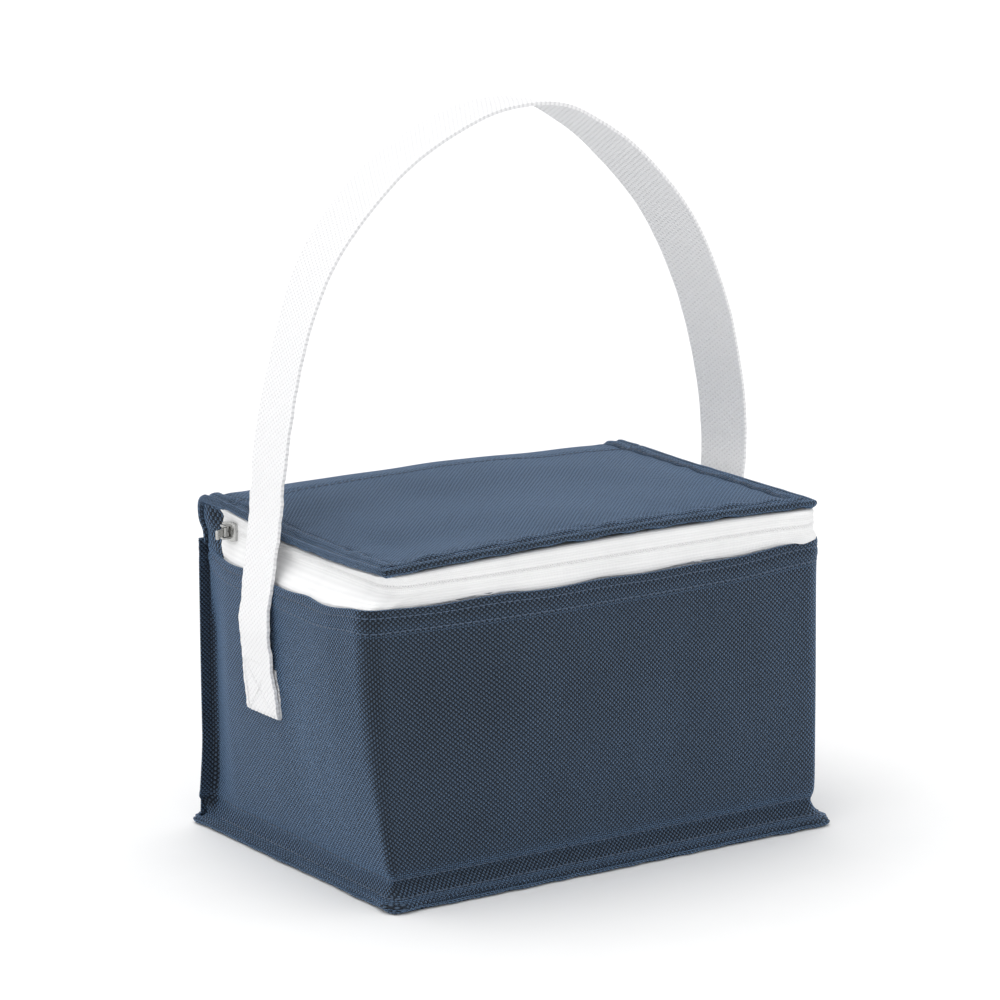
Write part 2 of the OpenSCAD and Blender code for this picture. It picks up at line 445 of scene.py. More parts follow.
class Graph:
    """One material's node tree, with a method that makes any node."""

    def __init__(self, name: str) -> None:
        """Starts a material with an empty tree."""
        self.material = bpy.data.materials.new(name)
        self.material.use_nodes = True
        self.tree = self.material.node_tree
        self.tree.nodes.clear()
        self.output = self.tree.nodes.new("ShaderNodeOutputMaterial")

    def node(self, kind: str, settings: dict[str, Any] | None = None,
             inputs: dict[Any, Any] | None = None) -> bpy.types.Node:
        """Makes a node.

        Args:
            kind: Node type without its ShaderNode prefix.
            settings: Attributes, set first.
            inputs: Socket name or number to a value, a socket or a Value.

        Returns:
            The node.
        """
        made = self.tree.nodes.new("ShaderNode" + kind)
        for key, value in (settings or {}).items():
            setattr(made, key, value)
        for key, value in (inputs or {}).items():
            self._plug(made.inputs[key], value)
        return made

    def _plug(self, socket: bpy.types.NodeSocket, value: Any) -> None:
        """Links a socket or sets its value."""
        if isinstance(value, Value):
            value = value.socket
        if isinstance(value, bpy.types.NodeSocket):
            self.tree.links.new(value, socket)
        else:
            socket.default_value = value

    def flat_map(self) -> tuple["Value", "Value"]:
        """The piece's UV map in metres, as two values."""
        coords = self.node("TexCoord")
        parts = self.node("SeparateXYZ", inputs={0: coords.outputs["UV"]})
        return Value(self, parts.outputs[0]), Value(self, parts.outputs[1])

    def place(self) -> bpy.types.NodeSocket:
        """Object coordinates in metres."""
        return self.node("TexCoord").outputs["Object"]

    def noise(self, scale: float, detail: float = 2.0) -> "Value":
        """Noise between 0 and 1 over the object."""
        made = self.node("TexNoise", inputs={"Vector": self.place(), "Scale": scale, "Detail": detail})
        return Value(self, made.outputs["Fac"])

    def mix(self, factor: Any, low: Sequence[float] | bpy.types.NodeSocket,
            high: Sequence[float] | bpy.types.NodeSocket) -> bpy.types.NodeSocket:
        """Mixes two colours."""
        colours = [c if isinstance(c, bpy.types.NodeSocket) else (*c, 1.0) for c in (low, high)]
        made = self.node("Mix", {"data_type": "RGBA"}, {0: factor, 6: colours[0], 7: colours[1]})
        return made.outputs[2]

    def bump(self, height: "Value", distance: float) -> bpy.types.NodeSocket:
        """Bumps the surface by a height of 0 to 1 over a distance in metres."""
        return self.node("Bump", inputs={"Height": height, "Distance": distance}).outputs["Normal"]

    def surface(self, **sockets: Any) -> bpy.types.Material:
        """Finishes the material with one principled shader; names use spaces for underscores."""
        made = self.node("BsdfPrincipled")
        for key, value in sockets.items():
            self._plug(made.inputs[key.replace("_", " ")], value)
        self.tree.links.new(made.outputs[0], self.output.inputs[0])
        return self.material


@dataclass(frozen=True)
class Value:
    """A number in the shader that ordinary arithmetic works on."""

    graph: Graph
    socket: bpy.types.NodeSocket

    def _math(self, operation: str, *others: Any) -> "Value":
        """One Math node on this value and others."""
        inputs = {0: self, **{i + 1: other for i, other in enumerate(others)}}
        made = self.graph.node("Math", {"operation": operation}, inputs)
        return Value(self.graph, made.outputs[0])

    def __add__(self, other: Any) -> "Value":
        """Adds."""
        return self._math("ADD", other)

    def __sub__(self, other: Any) -> "Value":
        """Subtracts."""
        return self._math("SUBTRACT", other)

    def __rsub__(self, other: Any) -> "Value":
        """Subtracts this value from a number."""
        return self._math("MULTIPLY", -1.0)._math("ADD", other)

    def __mul__(self, other: Any) -> "Value":
        """Multiplies."""
        return self._math("MULTIPLY", other)

    __radd__ = __add__
    __rmul__ = __mul__

    def wave(self) -> "Value":
        """Sine of this value, moved to run from 0 to 1."""
        return self._math("SINE")._math("MULTIPLY_ADD", 0.5, 0.5)

    def cosine(self) -> "Value":
        """Cosine of this value, from -1 to 1."""
        return self._math("COSINE")

    def size(self) -> "Value":
        """This value without its sign."""
        return self._math("ABSOLUTE")

    def power(self, exponent: float) -> "Value":
        """Raises to a power."""
        return self._math("POWER", exponent)

    def clamp(self) -> "Value":
        """Limits to 0 and 1."""
        made = self.graph.node("Clamp", inputs={0: self})
        return Value(self.graph, made.outputs[0])


# ---------------------------------------------------------------- finishes


@dataclass(frozen=True)
class OxfordCloth:
    """Navy polyester oxford: a plain weave of thick shiny threads, one way lighter than the other, with
    painted shade darkening the gaps between the threads' crowns.
    """

    name: str = "navy_oxford"
    slot: str = "cloth"
    # low is near-black: the painted shade in the gaps between threads and the darker threads; high is the
    # lighter threads' crowns.
    low: tuple[float, float, float] = (0.001, 0.004, 0.009)
    high: tuple[float, float, float] = (0.044, 0.082, 0.138)
    thread: float = 0.98

    def make(self) -> bpy.types.Material:
        """Builds the material."""
        g = Graph(self.name)
        u, v = g.flat_map()
        drift = g.noise(60.0, 2.0)
        turn = math.pi / (self.thread * MM)
        warp = ((u + drift * 0.0003) * turn).cosine()
        weft = ((v + drift * 0.0003) * turn).cosine()
        over = warp * weft
        top = (over * 1.5 + 0.5).clamp()
        crown = warp.size() * top + weft.size() * (1 - top)
        fluff = g.noise(1500.0, 2.0)
        cloud = g.noise(30.0, 3.0)
        # Painted shade: the thread crowns get the lighter colour and the gaps between threads the darker one;
        # fluff and cloud add random tone.
        tone_with_painted_shade = (top * 0.75 + crown * 0.55 + fluff * 0.24 + cloud * 0.14 - 0.66).clamp()
        gloss = (crown * top * 1.3 - 0.25).clamp() * 0.34
        height = crown * 0.65 + top * 0.45 + fluff * 0.1
        return g.surface(Base_Color=g.mix(tone_with_painted_shade, self.low, self.high), Roughness=(0.78 - crown * 0.22),
                         Sheen_Weight=0.9, Sheen_Roughness=0.25, Coat_Weight=gloss, Coat_Roughness=0.42,
                         Specular_IOR_Level=0.3,
                         Sheen_Tint=(0.35, 0.58, 0.96, 1.0), Normal=g.bump(height, 0.00085))


@dataclass(frozen=True)
class Webbing:
    """White polypropylene webbing: offset rows of raised picks with dimples between them, the dimples and the
    dips between picks darkened with painted shade.
    """

    name: str = "white_webbing"
    slot: str = "webbing"
    # low is the painted shade in the dimples and between picks; high is the webbing's own white.
    low: tuple[float, float, float] = (0.74, 0.74, 0.75)
    high: tuple[float, float, float] = (0.87, 0.87, 0.88)
    column: float = 1.4
    pick: float = 1.05

    def make(self) -> bpy.types.Material:
        """Builds the material."""
        g = Graph(self.name)
        u, v = g.flat_map()
        column = (v * (math.pi / (self.column * MM))).cosine()
        pick = (u * (math.pi / (self.pick * MM))).cosine()
        dimple = (column * pick * 2.4 - 0.9).clamp()
        weave = 1 - dimple * 0.8 - (1 - pick.size()) * 0.12
        fluff = g.noise(700.0, 2.0)
        # Painted shade: the dimples and the dips between picks get the darker colour; fluff adds random tone.
        tone_with_painted_shade = (weave * 0.85 + fluff * 0.3 - 0.05).clamp()
        return g.surface(Base_Color=g.mix(tone_with_painted_shade, self.low, self.high), Roughness=0.72, Sheen_Weight=0.15,
                         Specular_IOR_Level=0.4, Normal=g.bump(weave + fluff * 0.2, 0.00035))


@dataclass(frozen=True)
class TapeWeave:
    """White zip tape: a very fine weave with lengthwise lines, its low parts darkened with painted shade."""

    name: str = "white_zip_tape"
    slot: str = "zip_tape"
    # low is the painted shade in the low parts of the weave; high is the tape's own white.
    low: tuple[float, float, float] = (0.74, 0.745, 0.75)
    high: tuple[float, float, float] = (0.92, 0.92, 0.92)

    def make(self) -> bpy.types.Material:
        """Builds the material."""
        g = Graph(self.name)
        u, v = g.flat_map()
        lines = (v * (math.tau / (0.9 * MM))).wave()
        picks = (u * (math.tau / (0.7 * MM))).wave()
        weave = lines * 0.55 + picks * 0.45
        cloud = g.noise(60.0, 3.0)
        # Painted shade: the low parts of the weave get the darker colour; cloud adds random tone.
        tone_with_painted_shade = (weave * 0.5 + cloud * 0.7).clamp()
        return g.surface(Base_Color=g.mix(tone_with_painted_shade, self.low, self.high), Roughness=0.7, Sheen_Weight=0.1,
                         Normal=g.bump(weave, 0.00012))


@dataclass(frozen=True)
class Nylon:
    """Moulded white nylon of the coil."""

    name: str = "white_nylon"
    slot: str = "zip_coil"

    def make(self) -> bpy.types.Material:
        """Builds the material."""
        g = Graph(self.name)
        grain = g.noise(1200.0, 2.0)
        colour = g.mix(grain, (0.78, 0.78, 0.785), (0.9, 0.9, 0.9))
        return g.surface(Base_Color=colour, Roughness=(0.38 + grain * 0.12), Specular_IOR_Level=0.5,
                         Normal=g.bump(grain, 0.00003))


@dataclass(frozen=True)
class CastNickel:
    """Nickel-plated cast metal with soft wear and fine pits."""

    name: str = "cast_nickel"
    slot: str = "metal"

    def make(self) -> bpy.types.Material:
        """Builds the material."""
        g = Graph(self.name)
        cloud = g.noise(260.0, 4.0)
        pits = g.noise(2600.0, 2.0)
        colour = g.mix(cloud, (0.38, 0.38, 0.37), (0.62, 0.62, 0.61))
        return g.surface(Base_Color=colour, Metallic=1.0, Roughness=(0.16 + cloud * 0.16 + pits * 0.06),
                         Normal=g.bump(pits, 0.00003))


@dataclass(frozen=True)
class Foil:
    """Silver lining foil: bright, crinkled film on cloth."""

    name: str = "silver_foil"
    slot: str = "lining"

    def make(self) -> bpy.types.Material:
        """Builds the material."""
        g = Graph(self.name)
        creases = g.node("TexVoronoi", {"feature": "DISTANCE_TO_EDGE"},
                         {"Vector": g.place(), "Scale": 90.0}).outputs["Distance"]
        folds = Value(g, creases).power(0.45)
        cloud = g.noise(45.0, 4.0)
        colour = g.mix(cloud, (0.60, 0.61, 0.63), (0.80, 0.81, 0.82))
        return g.surface(Base_Color=colour, Metallic=0.85, Roughness=(0.26 + cloud * 0.16),
                         Normal=g.bump(folds * 0.7 + cloud * 0.8, 0.0009))


@dataclass(frozen=True)
class FoamBoard:
    """White closed-cell foam with fine cells."""

    name: str = "closed_cell_foam"
    slot: str = "foam"

    def make(self) -> bpy.types.Material:
        """Builds the material."""
        g = Graph(self.name)
        cells = g.node("TexVoronoi", inputs={"Vector": g.place(), "Scale": 900.0}).outputs["Distance"]
        height = Value(g, cells)
        colour = g.mix(height, (0.86, 0.87, 0.88), (0.72, 0.73, 0.75))
        return g.surface(Base_Color=colour, Roughness=0.85, Normal=g.bump(height, 0.0002))


@dataclass(frozen=True)
class SewingThread:
    """Twisted sewing thread in one colour."""

    name: str
    slot: str
    low: tuple[float, float, float]
    high: tuple[float, float, float]

    def make(self) -> bpy.types.Material:
        """Builds the material."""
        g = Graph(self.name)
        fibre = g.noise(2400.0, 2.0)
        return g.surface(Base_Color=g.mix(fibre, self.low, self.high), Roughness=0.6, Sheen_Weight=0.2,
                         Normal=g.bump(fibre, 0.00004))


class Wardrobe:
    """Makes each finish once and dresses pieces with it."""

    def __init__(self) -> None:
        """Builds every material."""
        self.cloth = OxfordCloth()
        self.webbing = Webbing()
        self.tape = TapeWeave()
        self.nylon = Nylon()
        self.nickel = CastNickel()
        self.foil = Foil()
        self.foam = FoamBoard()
        self.navy_thread = SewingThread("navy_thread", "cloth", (0.018, 0.036, 0.068), (0.085, 0.135, 0.22))
        self.pale_thread = SewingThread("pale_thread", "webbing", (0.72, 0.72, 0.73), (0.9, 0.9, 0.9))
        finishes = [self.cloth, self.webbing, self.tape, self.nylon, self.nickel, self.foil, self.foam,
                    self.navy_thread, self.pale_thread]
        self.made = {finish.name: finish.make() for finish in finishes}

    def dress(self, obj: bpy.types.Object, finish: Any) -> None:
        """Gives a piece one finish all over."""
        obj.data.materials.clear()
        obj.data.materials.append(self.made[finish.name])

    def fit(self, obj: bpy.types.Object, finish: Any, body: Body, *nodes: str) -> bpy.types.Object:
        """Dresses a piece, sets it on a body and hides the CAD nodes that it stands for.

        Args:
            obj: The piece.
            finish: Its finish.
            body: The body that it rides on.
            nodes: CAD nodes that it replaces, if any.

        Returns:
            The piece.
        """
        self.dress(obj, finish)
        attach(obj, body.value)
        if nodes:
            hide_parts(*nodes)
        return obj


# ---------------------------------------------------------------- the bag's own shape


@dataclass
class Build:
    """The sizes that every sub-assembly shares, in millimetres, read from the CAD frame."""

    half_w: float
    half_d: float
    top: float
    hem_z: float
    rim_z: float
    zip_z: float
    zip_end: float
    hinge_y: float
    hinge_z: float
    fold_r: float
    flange: float
    seam: float
    strap_y: float
    strap_z: float
    strap_low: float
    strap_w: float
    pull_axis: Array
    cloth: float = 0.7
    web: float = 1.4
    foam: float = 3.2
    foil: float = 0.3

    @classmethod
    def from_frame(cls, frame: dict[str, Any]) -> "Build":
        """Reads the sizes from the CAD nodes' boxes and from the joints."""
        joints = {joint["name"]: joint for joint in frame["record"]["behaviour"]["joints"]}
        hinge = np.array(joints["lid_open"]["pos_m"]) / MM
        swing = np.array(joints["strap_swing"]["pos_m"]) / MM
        lid, wall, back = node_box("lid_panel"), node_box("outer_wall"), node_box("back_panel")
        lower, upper = node_box("zip_coil_lower"), node_box("zip_coil_upper")
        sewn, strap = node_box("strap_end_left"), node_box("handle_strap")
        return cls(
            half_w=lid[1][0], half_d=-lid[0][1], top=lid[1][2], hem_z=wall[1][2], rim_z=lid[0][2],
            zip_z=(lower[1][2] + upper[0][2]) / 2, zip_end=lower[1][1], hinge_y=hinge[1], hinge_z=hinge[2],
            fold_r=lid[1][2] - hinge[2], flange=back[1][1] + lid[0][1], seam=wall[1][0] - lid[1][0],
            strap_y=swing[1], strap_z=swing[2], strap_low=sewn[0][2], strap_w=strap[1][1] - strap[0][1],
            pull_axis=np.array(joints["pull_turn"]["pos_m"]) / MM,
        )


@dataclass
class Slump:
    """How the soft bag leans and sags away from its true box, in millimetres.

    The left side leans out towards its front, its hem drops, and the lid arches and droops at its left edge.
    """

    build: Build
    lean: float = 12.0
    lean_right: float = 3.0
    drop: float = 4.0
    corner_back: float = 3.5
    zip_belly: float = 0.7
    lid_tip: float = 4.0
    lid_droop: float = 3.4
    lid_arch: float = 1.7
    lid_back_rise: float = 3.9
    lid_back_tip: float = 4.0

    def _corner(self, x: Array, y: Array, width: float) -> Array:
        """Weight round the front-left corner."""
        b = self.build
        return mound(np.hypot(x + b.half_w, y + b.half_d), 0.0, width)

    def move(self, points: Array, on_lid: bool = False) -> Array:
        """Moves points of the true box to the slumped shape.

        Args:
            points: Places (n, 3) in millimetres.
            on_lid: Move them all as the lid's top moves, whatever their height.

        Returns:
            The moved places.
        """
        b = self.build
        x, y, z = points.T
        height = np.clip(z / b.hem_z, 0.0, 1.0)
        rise = 1.0 - (1.0 - height) ** (1.0 + 0.8 * ramp(y, 12.0, -45.0))
        to_zip = np.maximum(ramp(z, b.hem_z - 0.5, b.zip_z - 2.2), float(on_lid))
        to_lid = np.maximum(ramp(z, b.zip_z, b.rim_z + 0.5), float(on_lid))
        open_part = np.clip((b.half_d - y) / 115.0, 0.0, 1.0) ** 0.65
        left = ramp(x, -b.half_w + 85.0, -b.half_w + 3.0)
        right = ramp(x, b.half_w - 60.0, b.half_w - 3.0)
        body = rise * (1.0 - to_zip)
        shift = -self.lean * open_part * left * body + self.lean_right * open_part * right * body
        shift = shift - self.zip_belly * to_zip * (1.0 - to_lid) * open_part * left
        shift = shift - self.lid_tip * to_lid * self._corner(x, y, 48.0)
        rear_corner = mound(np.hypot(x + b.half_w, y - 68.0), 0.0, 26.0)
        past_zip = ramp(z, b.hem_z - 2.0, b.rim_z) * ramp(y, b.zip_end - 1.0, b.zip_end + 8.0)
        above_rim = ramp(z, b.rim_z - 2.5, b.rim_z + 0.5)
        shift = shift - self.lid_back_tip * rear_corner * np.maximum(past_zip, above_rim)
        back = self.corner_back * self._corner(x, y, 34.0) * (rise * (1.0 - to_lid) + 0.6 * to_lid)
        side = 1.0 + self.drop * ramp(y, -68.0, -25.0) - 2.0 * ramp(y, 44.0, 68.0)
        front = (1.2 + 1.2 * np.clip(1.0 - ((x - 10.0) / 90.0) ** 2, 0.0, 1.0)) * ramp(x, 100.0, 60.0)
        facing = ramp(-y, b.half_d - 14.0, b.half_d - 2.0)
        sag = (side * ramp(-x, b.half_w - 14.0, b.half_w - 2.0) * (1 - facing) + front * facing
               + 0.5 * side * ramp(x, b.half_w - 14.0, b.half_w - 2.0) * (1 - facing))
        sag = sag * height**2 * (1.0 - to_zip) * ramp(y, b.half_d + 1.0, b.half_d - 8.0)
        bow = np.clip(1.0 - ((x - 15.0) / 95.0) ** 2, 0.0, 1.0)
        arch = self.lid_arch * bow * to_lid * ramp(y, 66.0, 20.0)
        arch = arch + self.lid_back_rise * ramp(y, 12.0, 60.0) * (1.0 - 0.75 * ramp(x, 0.0, 100.0)) * to_lid
        droop = self.lid_droop * mound(y, -8.0, 52.0) * ramp(-x, b.half_w - 34.0, b.half_w + 1.0) * to_lid
        return np.stack([x + shift, y + back, z - sag + arch - droop], axis=1)


# ---------------------------------------------------------------- body


@dataclass
class Shell:
    """The cloth body: wall, back panel, base and the two corner tabs."""

    build: Build
    slump: Slump
    wardrobe: Wardrobe
    pitch: float = 2.6
    wall_bulge: float = 2.4
    pinch: float = 4.0
    top_radius: float = 7.5
    low_radius: float = 2.2
    roll_radius: float = 1.45

    def __post_init__(self) -> None:
        """Draws the wall's plan at its base, just above its base and at its hem."""
        b = self.build
        self.rear = b.half_d - 1.5
        self.tip = b.half_w + b.seam + 1.0
        self._base_plan = RoundedPath([(-b.half_w, self.rear), (-b.half_w, -b.half_d), (b.half_w, -b.half_d),
                                       (b.half_w, self.rear)], [self.low_radius, self.low_radius])
        self._low_plan = self._plan(self.low_radius)
        self._top_plan = self._plan(self.top_radius)

    def _plan(self, radius: float) -> RoundedPath:
        """The wall's plan: a seam leg, the left side, the front, the right side and the other seam leg."""
        b = self.build
        return RoundedPath([(-self.tip, self.rear), (-b.half_w, self.rear), (-b.half_w, -b.half_d),
                            (b.half_w, -b.half_d), (b.half_w, self.rear), (self.tip, self.rear)],
                           [0.9, radius, radius, 0.9])

    def _profile(self) -> Array:
        """The wall's upright section from its folded lower edge to its turned-in hem: (out, z)."""
        b = self.build
        f, h = b.flange, b.hem_z
        low = [(f - 3.4, 1.8), (f - 1.0, 1.1), (f + 0.5, 1.5), (f + 0.75, 2.9), (f - 0.3, 4.3),
               (f - 2.0, 4.6), (1.4, 5.6), (0.4, 7.8), (-0.9, 10.2), (-1.0, 11.6), (-0.2, 13.4), (0.3, 18.0)]
        high = [(0.0, 40.0), (0.0, 80.0), (0.0, h - 14.0), (0.1, h - 11.6), (0.0, h - 10.3), (-0.15, h - 9.5),
                (0.25, h - 8.3), (0.5, h - 6.4), (0.3, h - 4.4), (-0.05, h - 3.5), (0.35, h - 2.4),
                (0.3, h - 0.9), (-0.4, h), (-1.15, h - 0.6), (-1.4, h - 4.0), (-1.5, h - 9.0)]
        return smooth_line(low + high, 900)

    def wall_point(self, s: Array, out: Array, z: Array) -> Array:
        """A place on the wall.

        Args:
            s: Length along the wall's plan as a share, 0 to 1.
            out: Distance outwards from the plain wall.
            z: Height.

        Returns:
            Places (n, 3) in millimetres, slumped.
        """
        b = self.build
        x, y = self._base_plan.at(s * self._base_plan.length, out)
        stages = ((self._low_plan, ramp(z, 4.0, 13.0)), (self._top_plan, ramp(z, 8.0, b.hem_z * 0.9)))
        for plan, blend in stages:
            xp, yp = plan.at(s * plan.length, out)
            x = x + (xp - x) * blend
            y = y + (yp - y) * blend
        upright = np.sin(math.pi * np.clip((z - 8.0) / (b.hem_z - 8.0), 0, 1)) ** 0.8
        facing = ramp(np.abs(y), b.half_d - 16.0, b.half_d - 2.0) * ramp(-y, 40.0, 60.0)
        front = facing * np.clip(np.cos(np.clip(x / b.half_w, -1, 1) * math.pi / 2), 0, 1) ** 0.7
        side = ramp(np.abs(x), b.half_w - 12.0, b.half_w - 1.0)
        middle = np.clip(np.cos(np.clip(y / b.half_d, -1, 1) * math.pi / 2), 0, 1) ** 0.7
        wave = ripple(s * 500.0, z, 62.0, 7) * 0.55 + ripple(s * 500.0, z * 0.6, 24.0, 3) * 0.16
        soft = upright * (self.wall_bulge + wave * 1.0)
        y = y - front * soft
        x = x + np.sign(x) * side * middle * soft * 0.9
        crease = ramp(y, 46.0, b.half_d - 2.0) * side * ramp(z, 4.0, 22.0) * (1 - 0.75 * ramp(z, 80.0, 118.0))
        from_end = np.minimum(s, 1 - s) * self._top_plan.length
        leg = ramp(from_end, self.tip - b.half_w + 1.5, self.tip - b.half_w - 0.5)
        x = x - np.sign(x) * (self.pinch * crease * (1 - leg) + 2.2 * leg * ramp(z, 6.0, 40.0))
        tips = ramp(z, 9.0, 3.0) * mound(np.hypot(np.abs(x) - b.half_w, y + b.half_d), 4.0, 5.0)
        x = x + np.sign(x) * tips * 1.6
        y = y - tips * 1.6
        hem = mound(z, b.hem_z, 7.0) * ripple(s * 500.0, z * 0.0, 30.0, 11) * 0.35
        return self.slump.move(np.stack([x, y, z + hem], axis=1))

    def build_wall(self) -> bpy.types.Object:
        """The outer wall: one cloth round left side, front and right side, hemmed, with its base seam."""
        section = self._profile()
        run = np.concatenate([[0.0], np.cumsum(np.linalg.norm(np.diff(section, axis=0), axis=1))])
        width, height = self._top_plan.length, float(run[-1])

        def shape(u: Array, v: Array) -> Array:
            out = np.interp(v, run, section[:, 0])
            z = np.interp(v, run, section[:, 1])
            return self.wall_point(u / width, out, z)

        wall = cut_sheet("outer_wall_cloth", (width, height), 1.7, shape)
        thicken(wall, self.build.cloth, Ply.INSIDE)
        return self.wardrobe.fit(wall, self.wardrobe.cloth, Body.BAG, "outer_wall")

    def build_layer(self, name: str, node: str, inset: float, thickness: float, heights: tuple[float, float],
                    finish: Any, wave: Shape | None = None, clear: float = 9.0) -> bpy.types.Object:
        """One inner layer that follows the wall round both sides and the front.

        Args:
            name: Name of the piece.
            node: CAD node that it stands for.
            inset: Distance of its outer face inside the wall's face.
            thickness: Thickness of the layer.
            heights: Its lower and upper edge.
            finish: Its finish.
            wave: Uneven extra inset from (length along, height).
            clear: Distance that its ends keep from the back corners.

        Returns:
            The layer.
        """
        plan = self._top_plan
        start = self.tip - self.build.half_w + clear + inset
        length = plan.length - 2 * start

        def shape(u: Array, v: Array) -> Array:
            z = heights[0] + v
            out = np.full_like(u, -inset)
            if wave is not None:
                out = out - wave(u, v) * ramp(np.minimum(u, length - u), 0.0, 10.0)
            return self.wall_point((u + start) / plan.length, out, z)

        layer = cut_sheet(name, (length, heights[1] - heights[0]), 2.6, shape)
        thicken(layer, thickness, Ply.INSIDE)
        return self.wardrobe.fit(layer, finish, Body.BAG, node)

    def build_foam(self) -> bpy.types.Object:
        """The foam inside the wall."""
        low, high = node_box("wall_foam")
        return self.build_layer("wall_foam_sheet", "wall_foam", self.build.cloth + 0.45, self.build.foam,
                                (low[2] + 10.0, high[2] - 0.8), self.wardrobe.foam)

    def build_back_foam(self) -> bpy.types.Object:
        """The foam inside the back panel, kept clear of the pinched corners."""
        b = self.build
        low, high = node_box("back_foam")
        width, height = 2 * (b.half_w - 8.0), high[2] - low[2] - 11.0

        def shape(u: Array, v: Array) -> Array:
            x, z = u - width / 2, low[2] + 10.0 + v
            crown = 0.9 * np.sin(math.pi * u / width) * np.sin(math.pi * v / height)
            return np.stack([x, high[1] - 0.5 + crown, z], axis=1)

        foam = cut_sheet("back_foam_sheet", (width, height), 5.0, shape)
        face_towards(foam, (0.0, 1.0, 0.0))
        thicken(foam, b.foam, Ply.INSIDE)
        return self.wardrobe.fit(foam, self.wardrobe.foam, Body.BAG, "back_foam")

    def build_base_foam(self) -> bpy.types.Object:
        """The foam board in the base, with rounded corners and a slight crown."""
        low, high = node_box("base_foam")
        half_x, half_y = (high[0] - low[0]) / 2 - 1.2, (high[1] - low[1]) / 2 - 1.2

        def shape(u: Array, v: Array) -> Array:
            x, y = round_corners(u - half_x, v - half_y, half_x, half_y, 9.0)
            crown = 0.35 * np.cos(x / half_x * math.pi / 2) * np.cos(y / half_y * math.pi / 2)
            return np.stack([x, y, high[2] - 0.45 + crown], axis=1)

        foam = cut_sheet("base_foam_sheet", (2 * half_x, 2 * half_y), 5.0, shape)
        face_towards(foam, (0.0, 0.0, 1.0))
        thicken(foam, high[2] - low[2] - 0.9, Ply.INSIDE)
        return self.wardrobe.fit(foam, self.wardrobe.foam, Body.BAG, "base_foam")

    def build_back(self) -> bpy.types.Object:
        """The back panel, with its turned-out edges at both corners and at the base."""
        b = self.build
        width = 2 * (b.half_w + b.seam)
        base = smooth_line([(b.flange - 0.2, 1.5), (b.flange - 1.2, 3.4), (1.0, 5.4), (0.0, 9.0),
                            (0.0, 60.0), (0.0, b.hem_z + 1.0)], 300)
        run = np.concatenate([[0.0], np.cumsum(np.linalg.norm(np.diff(base, axis=0), axis=1))])

        def shape(u: Array, v: Array) -> Array:
            x = u - width / 2
            out = np.interp(v, run, base[:, 0])
            z = np.interp(v, run, base[:, 1])
            inside = 1 - ramp(np.abs(x), b.half_w - 14.0, b.half_w - 3.0)
            crown = np.sin(math.pi * np.clip(z / b.hem_z, 0, 1)) * np.cos(x / width * math.pi) ** 0.6
            wave = ripple(x, z, 58.0, 21) * 0.5
            pinch = 2.2 * ramp(np.abs(x), b.half_w - 6.0, b.half_w) * ramp(z, 6.0, 40.0)
            dip = 3.0 * ramp(np.abs(x), b.half_w - 12.0, b.half_w) * ramp(z, 90.0, b.hem_z)
            y = b.half_d - 0.1 + out + inside * crown * (1.6 + wave)
            return np.stack([x - np.sign(x) * pinch, y, z - dip], axis=1)

        panel = cut_sheet("back_panel_cloth", (width, float(run[-1])), 2.6, shape)
        point_outwards(panel)
        face_towards(panel, (0.0, 1.0, 0.0))
        thicken(panel, b.cloth, Ply.INSIDE)
        return self.wardrobe.fit(panel, self.wardrobe.cloth, Body.BAG, "back_panel")

    def build_base(self) -> bpy.types.Object:
        """The base cloth, whose edge is the lower ply of the turned-out seam."""
        b = self.build
        half_x, half_y = b.half_w + b.flange, b.half_d + b.flange
        radius = 4.0

        def shape(u: Array, v: Array) -> Array:
            x, y = round_corners(u - half_x, v - half_y, half_x, half_y, radius)
            edge = np.minimum(half_x - np.abs(x), half_y - np.abs(y))
            z = 0.75 + 0.25 * ripple(x, y, 45.0, 31) * ramp(edge, 4.0, 20.0)
            lift = 0.35 * ramp(edge, 3.0, 0.0) + 0.2 * ripple(x, y, 26.0, 32) * ramp(edge, 6.0, 0.0)
            return np.stack([x, y, np.maximum(z + lift, 0.72)], axis=1)

        base = cut_sheet("base_cloth", (2 * half_x, 2 * half_y), 3.0, shape)
        face_towards(base, (0.0, 0.0, -1.0))
        thicken(base, b.cloth, Ply.OUTSIDE)
        return self.wardrobe.fit(base, self.wardrobe.cloth, Body.BAG, "base_panel")

    def build_seam_roll(self) -> bpy.types.Object:
        """The rolled edge of the base seam, all round the foot of the bag."""
        b = self.build
        x0, y0 = b.half_w + b.flange - 0.2, b.half_d + b.flange - 0.2
        plan = RoundedPath([(0.0, y0), (-x0, y0), (-x0, -y0), (x0, -y0), (x0, y0), (0.0, y0)], [1.8] * 4)
        girth = math.tau * self.roll_radius

        def shape(u: Array, v: Array) -> Array:
            angle = v / self.roll_radius
            loop = u / plan.length * math.tau
            uneven = 1 + 0.16 * ripple(18 * np.cos(loop) * 5, 18 * np.sin(loop) * 5, 11.0, 43)
            radius = self.roll_radius * uneven * (1 - 0.55 * mound(angle, 0.55, 0.28))
            sway = 0.3 * ripple(90 * np.cos(loop), 90 * np.sin(loop), 30.0, 44)
            x, y = plan.at(u, radius * np.cos(angle) * 1.15 + sway)
            return np.stack([x, y, self.roll_radius + 0.45 + radius * np.sin(angle)], axis=1)

        roll = cut_sheet("base_seam_roll", (plan.length, girth), 0.75, shape)
        pick(roll)
        bpy.ops.object.mode_set(mode="EDIT")
        bpy.ops.mesh.select_all(action="SELECT")
        bpy.ops.mesh.remove_doubles(threshold=0.02 * MM)
        bpy.ops.object.mode_set(mode="OBJECT")
        point_outwards(roll)
        shade(roll)
        return self.wardrobe.fit(roll, self.wardrobe.cloth, Body.BAG)

